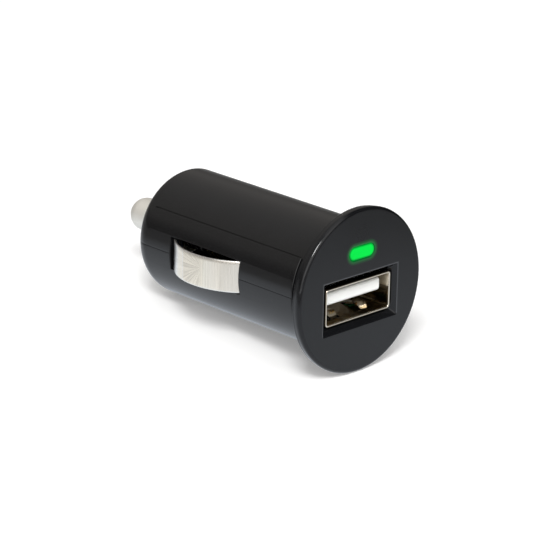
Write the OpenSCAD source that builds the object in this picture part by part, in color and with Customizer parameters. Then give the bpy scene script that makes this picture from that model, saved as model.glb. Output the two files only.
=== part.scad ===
// Plug-in car charger with one port: a two-shell barrel with sprung side contacts,
// a sprung centre pin, a round front cap and the electronics inside.
// Millimetres. The barrel's axis is Y: the port faces -Y and the pin points to +Y.
// The origin is on the axis, at the back face of the flange. +Z is up, towards the lamp.

/* [Barrel] */
// Outer radius of the barrel
barrel_r = 9.7; // [9.5:0.05:10.1]
// Length of the barrel behind the flange
barrel_len = 36.7; // [36.2:0.1:39]
// Wall thickness of the two shells
wall = 1.35; // [1.15:0.05:1.45]
// Thickness of the rear end wall
end_wall = 1.55; // [1.2:0.05:1.9]
// Radius of the rounded rear shoulder
rear_round = 3.05; // [2.2:0.05:3.6]
// Length of the reduced neck beside the flange
neck_len = 2.4; // [1.6:0.1:3.4]
// Depth of the neck and of the label field below the barrel's surface
step_depth = 0.25; // [0.1:0.05:0.35]
// Rounding of the barrel's edge at the neck
step_round = 0.2; // [0.1:0.05:0.3]
// Half angle of the label field over the top of the barrel
label_half_angle = 55; // [40:1:62]
// Width and depth of the groove along the parting line
parting_groove = 0.12; // [0.06:0.01:0.2]
// Height of the lip that locates one shell in the other
lip_h = 0.8; // [0.5:0.1:1.2]
// Gap between parts that slide into each other by hand
fit_gap = 0.1; // [0.05:0.01:0.14]

/* [Front cap] */
// Radius of the flange
flange_r = 12.25; // [11.5:0.05:13]
// Thickness of the flange
flange_t = 1.7; // [1.4:0.1:2.4]
// Rounding of the flange's front edge
flange_front_round = 0.5; // [0.2:0.05:0.7]
// Rounding of the flange's back edge
flange_back_round = 0.3; // [0.1:0.05:0.5]
// Length of the skirt that plugs into the barrel
skirt_len = 6; // [5:0.1:6.8]
// Wall thickness of the skirt
skirt_wall = 0.95; // [0.7:0.05:1.1]
// Height of the snap bead round the skirt
snap_h = 0.3; // [0.15:0.05:0.4]
// Distance of the snap bead behind the flange
snap_y = 4.2; // [3.6:0.1:4.6]
// Length of the sleeve behind the flange that guides the port
sleeve_len = 3; // [2:0.1:3.2]
// Wall of that sleeve beside the port
sleeve_wall = 0.8; // [0.6:0.05:1]

/* [Port] */
// Outer width of the port's sheet-metal shell
usb_w = 13.1; // [13:0.05:13.2]
// Outer height of that shell
usb_h = 5.7; // [5.6:0.05:5.8]
// Length of that shell
usb_len = 10; // [9.7:0.1:10.5]
// Thickness of the sheet
usb_sheet = 0.3; // [0.25:0.01:0.35]
// Outer corner radius of the shell
usb_corner = 0.6; // [0.45:0.05:0.8]
// Height of the port's centre above the axis
usb_z = -1.4; // [-1.5:0.05:-1.25]
// Distance of the shell's front edge behind the cap's face
usb_setback = 0.5; // [0.2:0.05:0.8]
// Width of the sloping border beside the port, on the cap's face
bevel_side = 0.85; // [0.5:0.05:1]
// Width of the sloping border above and below the port
bevel_top = 1.05; // [0.6:0.05:1.2]
// Depth of the sloping border
bevel_depth = 1.2; // [0.8:0.05:1.3]
// Gap beside the contact tongue, on each side of it
tongue_side_gap = 0.75; // [0.6:0.05:0.9]
// Thickness of the contact tongue
tongue_t = 1.84; // [1.75:0.01:1.95]
// Gap between the tongue and the top of the port
tongue_gap = 0.72; // [0.6:0.01:0.8]
// Distance of the tongue's tip behind the shell's front edge
tongue_setback = 1; // [0.6:0.1:1.6]
// Length of the moulded block at the back of the port
block_len = 2.4; // [1.8:0.1:2.8]
// Width of one spring finger of the shell
finger_w = 1.9; // [1.4:0.1:2.2]
// Distance of each finger's centre from the port's centre
finger_x = 3.05; // [2.6:0.05:3.4]
// How far a finger's crest stands into the port
finger_rise = 0.55; // [0.3:0.05:0.7]
// Width of one contact strip
strip_w = 0.9; // [0.7:0.05:1]
// Thickness of one contact strip
strip_t = 0.25; // [0.2:0.01:0.3]

/* [Lamp] */
// Width of the lamp's window
led_w = 5; // [4:0.1:5.4]
// Height of the lamp's window
led_h = 2; // [1.6:0.05:2.2]
// Height of the lamp above the axis
led_z = 5.8; // [5.6:0.05:5.9]
// Length of the lamp's narrow front part
led_len = 2.7; // [2.6:0.05:3.2]
// Thickness of the lamp's wider base
led_base_t = 1.6; // [1:0.1:2]
// How far the base stands out round the lamp
led_rim = 0.35; // [0.25:0.05:0.4]
// Radius of a lamp lead
lead_r = 0.25; // [0.2:0.01:0.3]

/* [Side contacts] */
// Width of a side contact
contact_w = 4.8; // [4:0.1:5.4]
// Thickness of its spring sheet
contact_t = 0.3; // [0.2:0.01:0.35]
// How far the bow stands out beyond the barrel
contact_rise = 2.17; // [1.6:0.01:2.3]
// Outer radius of the bow
bow_r = 10.65; // [10.4:0.05:11]
// Distance of the bow's crest behind the flange
bow_y = 20.8; // [20.5:0.1:21]
// Front edge of the slot, behind the flange
slot_front = 13.45; // [13.2:0.05:13.6]
// Rear edge of the slot, behind the flange
slot_rear = 28.3; // [28.2:0.05:28.8]
// Clearance round the contact in its slot
slot_gap = 0.12; // [0.08:0.01:0.2]
// Radius of the rolled bead that the contact turns on
bead_r = 0.4; // [0.35:0.01:0.45]
// Clearance between the bead and its clip
bead_gap = 0.12; // [0.08:0.01:0.15]
// Sheet thickness of the clip that holds the bead
clip_t = 0.3; // [0.2:0.05:0.35]
// Height of the clip's grip on the bead
clip_w = 3.4; // [2.6:0.1:3.6]

/* [Centre pin] */
// Radius of the pin
pin_r = 2.55; // [2.2:0.05:2.8]
// How far the pin stands out of the barrel
pin_reach = 10.3; // [8:0.1:11]
// Radius of the collar that keeps the pin in
collar_r = 3.6; // [3.3:0.1:4]
// Thickness of the collar
collar_t = 1; // [0.8:0.1:1.3]
// Running clearance round the pin in the end wall
pin_gap = 0.1; // [0.06:0.01:0.3]
// Length of the spring between the pin and its terminal
spring_len = 6.3; // [6:0.1:6.8]
// Middle radius of the spring's coils
coil_r = 2.35; // [2.3:0.01:2.5]
// Radius of the spring wire
wire_r = 0.22; // [0.18:0.01:0.25]
// Number of coils
coil_turns = 6; // [5:1:6]
// Thickness of the spring's terminal plate
terminal_t = 0.4; // [0.3:0.05:0.5]

/* [Electronics] */
// Thickness of the circuit board
board_t = 1; // [0.8:0.1:1]
// Radius of the choke's ferrite drum
choke_r = 3.5; // [3:0.1:3.6]
// Height of the choke
choke_h = 5.2; // [4.2:0.1:6]
// Radius of the input capacitor
input_cap_r = 3.15; // [2.8:0.05:3.2]
// Height of the input capacitor
input_cap_h = 7; // [6:0.1:8]
// Radius of the output capacitor
output_cap_r = 2.5; // [2:0.05:2.5]
// Height of the output capacitor
output_cap_h = 6; // [5:0.1:8]

/* [Hidden] */
$fn = 96;

// A cut runs this far past the face that it opens
over = 1;
// Lengths of one bent strip overlap by this much
join = 0.03;
// Flat faces of pieces that move on each other stay this far apart
face_gap = 0.05;

// Barrel
bore_r = barrel_r - wall;
neck_r = barrel_r - step_depth;
cavity_end = barrel_len - end_wall;
cavity_round = rear_round - wall;
lip_t = wall / 2;
groove_z = parting_groove / 2;

// Front cap
face_y = -flange_t;
skirt_r = bore_r - fit_gap;
snap_run = 0.4;
snap_flat = 0.3;

// Port
usb_front = face_y + usb_setback;
usb_rear = usb_front + usb_len;
usb_top = usb_z + usb_h / 2;
usb_bottom = usb_z - usb_h / 2;
usb_floor = usb_bottom + usb_sheet;
usb_roof = usb_top - usb_sheet;
usb_fit = 0.1;
tongue_w = usb_w - 2 * (usb_sheet + tongue_side_gap);
tongue_top = usb_roof - tongue_gap;
tongue_bottom = tongue_top - tongue_t;
tongue_front = usb_front + tongue_setback;
tongue_edge = 0.35;
block_front = usb_rear - block_len;
block_overhang = 0.3;
block_rear = usb_rear + block_overhang;
finger_tip = usb_front + 1.4;
finger_crest = usb_front + 2.4;
finger_root = usb_front + 5.6;
finger_cut = 0.2;
// Standard places of the four contacts across the port
strip_x = [-3.5, -1, 1, 3.5];
strip_gap = 0.08;
strip_front = tongue_front + 0.9;
tail_y = block_rear + 0.15;
tail_below = 0.65;

// Circuit board
board_top = usb_bottom;
board_bottom = board_top - board_t;
board_edge_gap = 0.25;
board_half_w = sqrt(pow(bore_r - board_edge_gap, 2) - pow(board_bottom, 2));
board_front = sleeve_len + 0.2;

// Centre pin, spring and terminal, from the end wall forwards
collar_rear = cavity_end - face_gap;
collar_front = collar_rear - collar_t;
coil_in = coil_r - wire_r;
guide_r = coil_in - 0.2;
guide_len = 1.8;
terminal_rear = collar_front - spring_len;
terminal_front = terminal_rear - terminal_t;
terminal_r = coil_r + wire_r + 0.4;
terminal_stud_len = 0.9;
terminal_leg_w = 2.4;
terminal_foot_len = 2;
board_rear = terminal_rear + 0.1;

// Side contacts: the bow is an arc, rolled into a bead in front and curled in behind
bow_x = barrel_r + contact_rise - bow_r;
bow_mid = bow_r - contact_t / 2;
pivot_x = bore_r - 1.35;
pivot_y = usb_rear + 1.1;
root_x = pivot_x + bead_r - contact_t / 2;
bow_start = -50;
bow_end = 38;
bend_r = (bow_x + bow_mid * cos(bow_start) - root_x) / (1 - cos(bow_start));
bend_y = bow_y + bow_mid * sin(bow_start) + bend_r * sin(bow_start);
curl_r = 0.9;
curl_turn = 46;
tail_len = 1.5;
slot_half = contact_w / 2 + slot_gap;

// Clips of the side contacts
clip_in = bead_r + bead_gap;
clip_out = clip_in + clip_t;
clip_open_from = 25;
clip_open_to = 115;
clip_leg_w = 1.2;
clip_foot_len = 1.1;

// Lamp
led_gap = 0.08;
led_seat = face_y + led_len;
led_lead_x = 1.27;
led_bend_y = usb_rear + 2;

// Small block-shaped parts: two behind the port and two near the board's rear end
small_part = [2, 1.25, 0.55];
small_x = 3.3;
small_y = board_rear - 1.4;
rail_len = 1.9;

// The larger parts stand in two rows between the lamp's leads and the rails,
// with equal spaces between them
parts_front = led_bend_y + lead_r;
parts_rear = small_y - rail_len / 2;
chip_body = [3.9, 4.9, 1.45];
chip_span = 6;
left_space = (parts_rear - parts_front - 2 * choke_r - chip_body[1]) / 3;
choke_x = -board_half_w + choke_r + 0.1;
choke_y = parts_front + left_space + choke_r;
chip_x = -board_half_w + chip_span / 2 + 0.05;
chip_y = parts_rear - left_space - chip_body[1] / 2;
right_space = (parts_rear - parts_front - 2 * (output_cap_r + input_cap_r)) / 3;
output_cap_x = board_half_w - output_cap_r + 0.1;
output_cap_y = parts_front + right_space + output_cap_r;
input_cap_x = board_half_w - input_cap_r + 0.4;
input_cap_y = parts_rear - right_space - input_cap_r;

// The rectifier below the board
diode_body = [2.6, 4.2, 1.9];
diode_foot = [1.5, 5.2, 0.25];

// Ribs and rails that hold the board in the lower shell, and the post above it
rib_t = 1;
rib_y = [board_front + 1.4, pivot_y + 3.2, board_rear - 3.6];
rail_t = 0.8;
rail_overlap = 0.7;
post_w = 2;
post_t = 1.2;

// Shared shapes

// Turns a profile of radius and distance about the barrel's axis
module revolve_y() {
    rotate([-90, 0, 0])
        rotate_extrude()
            children();
}

// Extrudes an outline of x and z from y0 to y1
module prism_y(y0, y1) {
    translate([0, y1, 0])
        rotate([90, 0, 0])
            linear_extrude(y1 - y0)
                children();
}

// Extrudes an outline of y and z over a width, centred on x
module prism_x(width) {
    rotate([90, 0, 90])
        linear_extrude(width, center = true)
            children();
}

// A round bar along the barrel from y0 to y1
module bar_y(r, y0, y1) {
    translate([0, y0, 0])
        rotate([-90, 0, 0])
            cylinder(r = r, h = y1 - y0);
}

// A box from its lowest to its highest corner
module block(low, high) {
    translate(low)
        cube(high - low);
}

// A rectangle with rounded corners, centred
module rounded_rect(w, h, r) {
    square([w - 2 * r, h], center = true);
    square([w, h - 2 * r], center = true);
    for (x = [-1, 1], y = [-1, 1])
        translate([x * (w / 2 - r), y * (h / 2 - r)])
            circle(r);
}

// A slot shape with round ends, centred
module pill(w, h) {
    square([w - h, h], center = true);
    for (x = [-1, 1])
        translate([x * (w - h) / 2, 0])
            circle(h / 2);
}

// A wedge about the origin from angle a0 to angle a1, less than a half turn apart
module wedge(reach, a0, a1) {
    polygon([
        [0, 0],
        [reach * cos(a0), reach * sin(a0)],
        2 * reach * [cos((a0 + a1) / 2), sin((a0 + a1) / 2)],
        [reach * cos(a1), reach * sin(a1)]]);
}

// A strip bent to middle radius r about the origin, from angle a0 to angle a1.
// It runs a little way into the lengths that it joins, so that they become one solid.
module arc_strip(r, a0, a1, t) {
    lap = join / r * 180 / PI;
    intersection() {
        difference() {
            circle(r + t / 2);
            circle(r - t / 2);
        }
        wedge(3 * r, a0 - lap, a1 + lap);
    }
}

// Barrel

module barrel_outline() {
    square([neck_r, neck_len + step_round]);
    translate([0, neck_len + step_round])
        square([barrel_r, barrel_len - rear_round - neck_len - step_round]);
    translate([0, neck_len])
        square([barrel_r - step_round, step_round]);
    intersection() {
        translate([barrel_r - step_round, neck_len + step_round])
            circle(step_round);
        translate([0, neck_len])
            square([barrel_r, 2 * step_round]);
    }
    translate([0, barrel_len - rear_round])
        square([barrel_r - rear_round, rear_round]);
    translate([barrel_r - rear_round, barrel_len - rear_round])
        circle(rear_round);
}

module cavity_outline() {
    translate([0, -over])
        square([bore_r, cavity_end - cavity_round + over]);
    square([bore_r - cavity_round, cavity_end]);
    translate([bore_r - cavity_round, cavity_end - cavity_round])
        circle(cavity_round);
}

// The groove round the inside of the barrel that takes the cap's snap bead
module snap_groove() {
    groove_r = skirt_r + snap_h + fit_gap;
    revolve_y()
        polygon([
            [bore_r - over, snap_y - snap_run - fit_gap],
            [skirt_r, snap_y - snap_run - fit_gap],
            [groove_r, snap_y - fit_gap],
            [groove_r, snap_y + snap_flat + fit_gap],
            [skirt_r, snap_y + snap_flat + snap_run + fit_gap],
            [bore_r - over, snap_y + snap_flat + snap_run + fit_gap]]);
}

// The whole barrel, before it is parted into its two shells
module barrel() {
    difference() {
        revolve_y()
            barrel_outline();
        revolve_y()
            cavity_outline();
        snap_groove();
        bar_y(pin_r + pin_gap, cavity_end - over, barrel_len + over);
        for (side = [0, 1])
            mirror([side, 0, 0])
                contact_pocket();
    }
}

// The slot of one side contact, undercut in front along the contact's bow
module contact_pocket() {
    undercut = 1.9;
    block([bore_r - 2, slot_front, -slot_half], [barrel_r + over, slot_rear, slot_half]);
    intersection() {
        translate([bow_x, bow_y, 0])
            cylinder(r = bow_r + slot_gap, h = 2 * slot_half, center = true);
        block([bore_r - 2, slot_front - undercut, -slot_half],
            [barrel_r, slot_front + slot_gap, slot_half]);
    }
}

// The label field: the top of the barrel, cut down to the radius of the neck
module label_field() {
    rotate([-90, 0, 0])
        rotate_extrude(angle = 2 * label_half_angle, start = 270 - label_half_angle)
            translate([neck_r, -over])
                square([step_depth + over, barrel_len + 2 * over]);
}

// The fine groove that shows along the parting line, on both sides of the barrel
module parting_line() {
    linear_extrude(parting_groove, center = true)
        difference() {
            translate([-barrel_r - over, neck_len - over])
                square([2 * (barrel_r + over), barrel_len - neck_len + 2 * over]);
            square([2 * (barrel_r - parting_groove),
                2 * (barrel_len - rear_round)], center = true);
            for (side = [-1, 1])
                translate([side * (barrel_r - rear_round), barrel_len - rear_round])
                    circle(rear_round - parting_groove);
            translate([-barrel_r + rear_round, 0])
                square([2 * (barrel_r - rear_round), barrel_len - parting_groove]);
        }
}

// The ring sector that the locating lip fills, on both sides
module lip_ring(r, h, y0, y1) {
    difference() {
        intersection() {
            difference() {
                bar_y(r, y0, y1);
                bar_y(bore_r, y0 - over, y1 + over);
            }
            block([-barrel_r, y0, -h], [barrel_r, y1, 0]);
        }
        for (side = [0, 1])
            mirror([side, 0, 0])
                contact_pocket();
    }
}

lip_front = snap_y + snap_flat + snap_run + 2 * fit_gap;
lip_rear = cavity_end - cavity_round - 0.5;

module upper_shell() {
    color([0.06, 0.06, 0.065]) {
        difference() {
            barrel();
            block([-2 * barrel_r, -over, -2 * barrel_r],
                [2 * barrel_r, barrel_len + over, 0]);
            label_field();
            parting_line();
        }
        lip_ring(bore_r + lip_t - fit_gap / 2, lip_h, lip_front, lip_rear);
        hold_down_post();
    }
}

// The post on the upper shell that keeps the board and the spring's terminal down
module hold_down_post() {
    post_foot = board_top + terminal_t + face_gap;
    post_rear = terminal_front - 0.3;
    intersection() {
        bar_y(bore_r + wall / 2, post_rear - post_t, post_rear);
        block([-post_w / 2, post_rear - post_t, post_foot],
            [post_w / 2, post_rear, barrel_r]);
    }
}

module lower_shell() {
    color([0.06, 0.06, 0.065]) {
        difference() {
            barrel();
            block([-2 * barrel_r, -over, 0],
                [2 * barrel_r, barrel_len + over, 2 * barrel_r]);
            parting_line();
            difference() {
                bar_y(bore_r + lip_t + fit_gap / 2, lip_front - fit_gap, lip_rear + fit_gap);
                block([-barrel_r, lip_front - over, -barrel_r],
                    [barrel_r, lip_rear + over, -lip_h - fit_gap]);
                bar_y(bore_r - over, lip_front - over, lip_rear + over);
            }
        }
        board_ribs();
        for (side = [0, 1])
            mirror([side, 0, 0])
                board_rail();
    }
}

// Crescent ribs that the circuit board lies on
module board_ribs() {
    for (y = rib_y)
        intersection() {
            bar_y(bore_r + wall / 2, y, y + rib_t);
            block([-barrel_r, y, -barrel_r], [barrel_r, y + rib_t, board_bottom]);
        }
}

// A rail over the edge of the board, near its rear end
module board_rail() {
    rail_z = board_top + fit_gap;
    intersection() {
        bar_y(bore_r + wall / 2, small_y - rail_len / 2, small_y + rail_len / 2);
        block([board_half_w - rail_overlap, small_y - rail_len / 2, rail_z],
            [barrel_r, small_y + rail_len / 2, rail_z + rail_t]);
    }
}

// Front cap

module flange_outline() {
    front_x = flange_r - flange_front_round;
    back_x = flange_r - flange_back_round;
    translate([0, face_y])
        square([front_x, flange_front_round]);
    translate([front_x, face_y + flange_front_round])
        circle(flange_front_round);
    translate([0, face_y + flange_front_round])
        square([flange_r, flange_t - flange_front_round - flange_back_round]);
    translate([back_x, -flange_back_round])
        circle(flange_back_round);
    translate([0, -flange_back_round])
        square([back_x, flange_back_round]);
}

// The skirt and its snap bead, before the port's room is cut out of it
module skirt() {
    revolve_y() {
        translate([skirt_r - skirt_wall, -flange_back_round])
            square([skirt_wall, skirt_len + flange_back_round]);
        polygon([
            [skirt_r - skirt_wall / 2, snap_y - snap_run],
            [skirt_r, snap_y - snap_run],
            [skirt_r + snap_h, snap_y],
            [skirt_r + snap_h, snap_y + snap_flat],
            [skirt_r, snap_y + snap_flat + snap_run],
            [skirt_r - skirt_wall / 2, snap_y + snap_flat + snap_run]]);
    }
}

// The sloping border round the port: two crossed wedges
module port_bevel() {
    inner_w = usb_w / 2 + usb_fit;
    inner_h = usb_h / 2 + usb_fit;
    outer_w = usb_w / 2 + bevel_side;
    outer_h = usb_h / 2 + bevel_top;
    // the slope carries on by this share of itself in front of the face
    lead = over / bevel_depth;
    reach_w = outer_w + (outer_w - inner_w) * lead;
    reach_h = outer_h + (outer_h - inner_h) * lead;
    y0 = face_y - over;
    y1 = face_y + bevel_depth;
    translate([0, 0, usb_z])
        intersection() {
            linear_extrude(4 * outer_h, center = true)
                polygon([[-reach_w, y0], [reach_w, y0], [inner_w, y1], [-inner_w, y1]]);
            prism_x(4 * outer_w)
                polygon([[y0, -reach_h], [y0, reach_h], [y1, inner_h], [y1, -inner_h]]);
        }
}

module front_cap() {
    sleeve_w = usb_w + 2 * usb_fit + 2 * sleeve_wall;
    sleeve_h = usb_h + 2 * usb_fit + 2 * sleeve_wall;
    color([0.17, 0.17, 0.18])
        difference() {
            union() {
                revolve_y()
                    flange_outline();
                difference() {
                    skirt();
                    block([-barrel_r, 0, -barrel_r], [barrel_r, skirt_len + over, usb_z]);
                }
                intersection() {
                    bar_y(skirt_r, -flange_back_round, skirt_len);
                    union() {
                        prism_y(-flange_back_round, sleeve_len)
                            translate([0, usb_z])
                                square([sleeve_w, sleeve_h], center = true);
                        prism_y(-flange_back_round, led_seat + led_base_t)
                            translate([0, led_z])
                                pill(led_w + 2 * led_rim + 1.6, led_h + 2 * led_rim + 1.6);
                    }
                }
            }
            port_bevel();
            prism_y(face_y - over, skirt_len + over)
                translate([0, usb_z])
                    rounded_rect(usb_w + 2 * usb_fit, usb_h + 2 * usb_fit,
                        usb_corner + usb_fit);
            prism_y(face_y - over, led_seat + over)
                translate([0, led_z])
                    pill(led_w + 2 * led_gap, led_h + 2 * led_gap);
            prism_y(led_seat, skirt_len + over)
                translate([0, led_z])
                    pill(led_w + 2 * (led_rim + led_gap), led_h + 2 * (led_rim + led_gap));
        }
}

// Lamp

module indicator_led() {
    color([0.1, 0.9, 0.3]) {
        prism_y(face_y, led_seat + face_gap)
            translate([0, led_z])
                pill(led_w, led_h);
        prism_y(led_seat + face_gap, led_seat + led_base_t)
            translate([0, led_z])
                pill(led_w + 2 * led_rim, led_h + 2 * led_rim);
    }
}

// A lead runs back over the port and turns down into the board
module led_lead() {
    lead_end = board_bottom - 0.4;
    color([0.8, 0.8, 0.82])
        translate([led_lead_x, 0, led_z]) {
            bar_y(lead_r, led_seat + led_base_t, led_bend_y);
            translate([0, led_bend_y, 0])
                sphere(lead_r);
            translate([0, led_bend_y, lead_end - led_z])
                cylinder(r = lead_r, h = led_z - lead_end);
        }
}

module led_lead_right() { led_lead(); }
module led_lead_left() { mirror([1, 0, 0]) led_lead(); }

// Port

// One spring finger, cut out of the floor or the roof and bent into the port
module finger(width) {
    rise = finger_rise + usb_sheet;
    prism_x(width)
        polygon([
            [finger_root, -usb_sheet],
            [finger_root, 0],
            [finger_crest, finger_rise],
            [finger_tip, finger_rise * 0.35],
            [finger_tip, finger_rise * 0.35 - usb_sheet],
            [finger_crest, rise - 2 * usb_sheet]]);
}

module finger_window(width) {
    block([-width / 2 - finger_cut, finger_tip - finger_cut, -usb_sheet - over],
        [width / 2 + finger_cut, finger_root - finger_cut, over]);
}

// Places children on the floor and, mirrored, on the roof of the port
module at_fingers() {
    for (x = [-finger_x, finger_x]) {
        translate([x, 0, usb_floor])
            children();
        translate([x, 0, usb_roof])
            mirror([0, 0, 1])
                children();
    }
}

module usb_shell() {
    tab_w = 1.6;
    tab_end = board_bottom + board_t / 4;
    color([0.72, 0.7, 0.67]) {
        difference() {
            prism_y(usb_front, usb_rear)
                translate([0, usb_z])
                    rounded_rect(usb_w, usb_h, usb_corner);
            prism_y(usb_front - over, usb_rear + over)
                translate([0, usb_z])
                    rounded_rect(usb_w - 2 * usb_sheet, usb_h - 2 * usb_sheet,
                        usb_corner - usb_sheet);
            at_fingers()
                finger_window(finger_w);
        }
        at_fingers()
            finger(finger_w);
        for (side = [0, 1])
            mirror([side, 0, 0])
                block([usb_w / 2 - usb_sheet, usb_rear - 2 * tab_w, tab_end],
                    [usb_w / 2, usb_rear - tab_w, usb_bottom + usb_corner]);
    }
}

module usb_insulator() {
    block_gap = 0.05;
    block_w = usb_w - 2 * usb_sheet - 2 * block_gap;
    block_h = usb_h - 2 * usb_sheet - 2 * block_gap;
    groove_w = strip_w + 2 * strip_gap;
    color([0.95, 0.95, 0.93])
        difference() {
            union() {
                prism_y(block_front, block_rear)
                    translate([0, usb_z])
                        rounded_rect(block_w, block_h, usb_corner - usb_sheet);
                intersection() {
                    prism_y(tongue_front, block_front + over)
                        translate([0, (tongue_top + tongue_bottom) / 2])
                            rounded_rect(tongue_w, tongue_t, tongue_edge);
                    translate([0, (tongue_front + block_rear) / 2, tongue_bottom - over])
                        linear_extrude(tongue_t + 2 * over)
                            rounded_rect(tongue_w, block_rear - tongue_front, tongue_edge);
                }
            }
            for (x = strip_x)
                block([x - groove_w / 2, strip_front - 0.2, tongue_bottom - over],
                    [x + groove_w / 2, block_front, tongue_bottom + strip_t + strip_gap]);
            for (x = strip_x)
                block([x - groove_w / 2, block_front - over, tongue_bottom - strip_gap],
                    [x + groove_w / 2, block_rear + over, tongue_bottom + strip_t + strip_gap]);
        }
}

// One contact: a strip under the tongue, through the block and down into the board
module usb_contact(number) {
    z0 = tongue_bottom;
    bow = 0.35;
    color([0.85, 0.68, 0.3])
        translate([strip_x[number - 1], 0, 0])
            prism_x(strip_w)
                polygon([
                    [strip_front, z0],
                    [strip_front, z0 + strip_t],
                    [strip_front + 1.2, z0 + strip_t - bow],
                    [strip_front + 2.2, z0 + strip_t - bow],
                    [block_front - 0.6, z0 + strip_t],
                    [tail_y + strip_t, z0 + strip_t],
                    [tail_y + strip_t, board_bottom - tail_below],
                    [tail_y, board_bottom - tail_below],
                    [tail_y, z0],
                    [block_front - 0.6, z0],
                    [strip_front + 2.2, z0 - bow],
                    [strip_front + 1.2, z0 - bow]]);
}

module usb_contact_1() { usb_contact(1); }
module usb_contact_2() { usb_contact(2); }
module usb_contact_3() { usb_contact(3); }
module usb_contact_4() { usb_contact(4); }

// Circuit board and the parts on it

module circuit_board() {
    hole_gap = 0.1;
    color([0.1, 0.35, 0.16])
        difference() {
            block([-board_half_w, board_front, board_bottom],
                [board_half_w, board_rear, board_top]);
            for (x = strip_x)
                block([x - strip_w / 2 - hole_gap, tail_y - hole_gap, board_bottom - over],
                    [x + strip_w / 2 + hole_gap, tail_y + strip_t + hole_gap,
                        board_top + over]);
            for (side = [-1, 1])
                translate([side * led_lead_x, led_bend_y, board_bottom - over])
                    cylinder(r = lead_r + hole_gap, h = board_t + 2 * over);
        }
}

choke_post_r = choke_r * 0.42;
choke_flange_t = 0.9;

module inductor_core() {
    color([0.25, 0.25, 0.26])
        translate([choke_x, choke_y, board_top]) {
            cylinder(r = choke_r, h = choke_flange_t);
            cylinder(r = choke_post_r, h = choke_h);
            translate([0, 0, choke_h - choke_flange_t])
                cylinder(r = choke_r, h = choke_flange_t);
        }
}

module inductor_winding() {
    winding_gap = 0.05;
    color([0.72, 0.4, 0.2])
        translate([choke_x, choke_y, board_top + choke_flange_t + winding_gap])
            difference() {
                cylinder(r = choke_r - 0.5, h = choke_h - 2 * (choke_flange_t + winding_gap));
                translate([0, 0, -over])
                    cylinder(r = choke_post_r + winding_gap, h = choke_h);
            }
}

// A radial capacitor: a crimped can on a rubber base
module capacitor(r, h) {
    crimp = 0.3;
    rotate_extrude() {
        difference() {
            square([r, h]);
            translate([r, 1.4])
                circle(crimp);
            translate([-over, h - 0.15])
                square([r * 0.75 + over, over]);
        }
    }
}

module input_capacitor() {
    color([0.15, 0.18, 0.3])
        translate([input_cap_x, input_cap_y, board_top])
            capacitor(input_cap_r, input_cap_h);
}

module output_capacitor() {
    color([0.15, 0.18, 0.3])
        translate([output_cap_x, output_cap_y, board_top])
            capacitor(output_cap_r, output_cap_h);
}

// The voltage controller: an eight-pin body with bent leads
module controller_chip() {
    lift = 0.12;
    pin_pitch = 1.27;
    pin_w = 0.42;
    pin_t = 0.2;
    knee = 0.55;
    half = chip_body[0] / 2;
    color([0.1, 0.1, 0.1])
        translate([chip_x, chip_y, board_top]) {
            block([-half, -chip_body[1] / 2, lift], [half, chip_body[1] / 2, chip_body[2]]);
            for (side = [0, 1], row = [-1.5 : 1 : 1.5])
                mirror([side, 0, 0])
                    translate([0, row * pin_pitch, 0])
                        rotate([90, 0, 0])
                            linear_extrude(pin_w, center = true)
                                polygon([
                                    [half - pin_t, chip_body[2] / 2],
                                    [half - pin_t, chip_body[2] / 2 + pin_t],
                                    [half + knee, chip_body[2] / 2 + pin_t],
                                    [half + knee, pin_t],
                                    [chip_span / 2, pin_t],
                                    [chip_span / 2, 0],
                                    [half + knee - pin_t, 0],
                                    [half + knee - pin_t, chip_body[2] / 2]]);
        }
}

// The rectifier hangs below the board, between the second and the third rib
module rectifier_diode() {
    lap = diode_foot[2] / 2;
    color([0.12, 0.12, 0.12])
        translate([0, (rib_y[1] + rib_y[2] + rib_t) / 2, board_bottom]) {
            translate([0, 0, -diode_foot[2] / 2])
                cube(diode_foot, center = true);
            translate([0, 0, lap - diode_foot[2] - diode_body[2] / 2])
                cube(diode_body, center = true);
        }
}

// A small block-shaped part, centred at x and y on the board
module chip_part(x, y) {
    translate([x - small_part[0] / 2, y - small_part[1] / 2, board_top])
        cube(small_part);
}

module chip_resistor_right() {
    color([0.15, 0.15, 0.15])
        chip_part(small_x, led_bend_y - 0.1);
}

module chip_resistor_left() { mirror([1, 0, 0]) chip_resistor_right(); }

module chip_capacitor_right() {
    color([0.55, 0.45, 0.35])
        chip_part(small_x, small_y);
}

module chip_capacitor_left() { mirror([1, 0, 0]) chip_capacitor_right(); }

// Side contacts

// The outline of the contact on the +X side, seen from above
module contact_outline() {
    end_x = bow_x + bow_mid * cos(bow_end);
    end_y = bow_y + bow_mid * sin(bow_end);
    curl_x = end_x - curl_r * cos(bow_end);
    curl_y = end_y - curl_r * sin(bow_end);
    last = bow_end + curl_turn;
    translate([pivot_x, pivot_y])
        circle(bead_r);
    translate([root_x - contact_t / 2, pivot_y])
        square([contact_t, bend_y - pivot_y]);
    translate([root_x + bend_r, bend_y])
        arc_strip(bend_r, 180 + bow_start, 180, contact_t);
    translate([bow_x, bow_y])
        arc_strip(bow_mid, bow_start, bow_end, contact_t);
    translate([curl_x, curl_y])
        arc_strip(curl_r, bow_end, last, contact_t);
    translate([curl_x, curl_y])
        rotate(last)
            translate([curl_r - contact_t / 2, -join])
                square([contact_t, tail_len + join]);
}

module side_contact() {
    color([0.86, 0.84, 0.8])
        linear_extrude(contact_w, center = true)
            contact_outline();
}

module side_contact_right() { side_contact(); }
module side_contact_left() { mirror([1, 0, 0]) side_contact(); }

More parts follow.
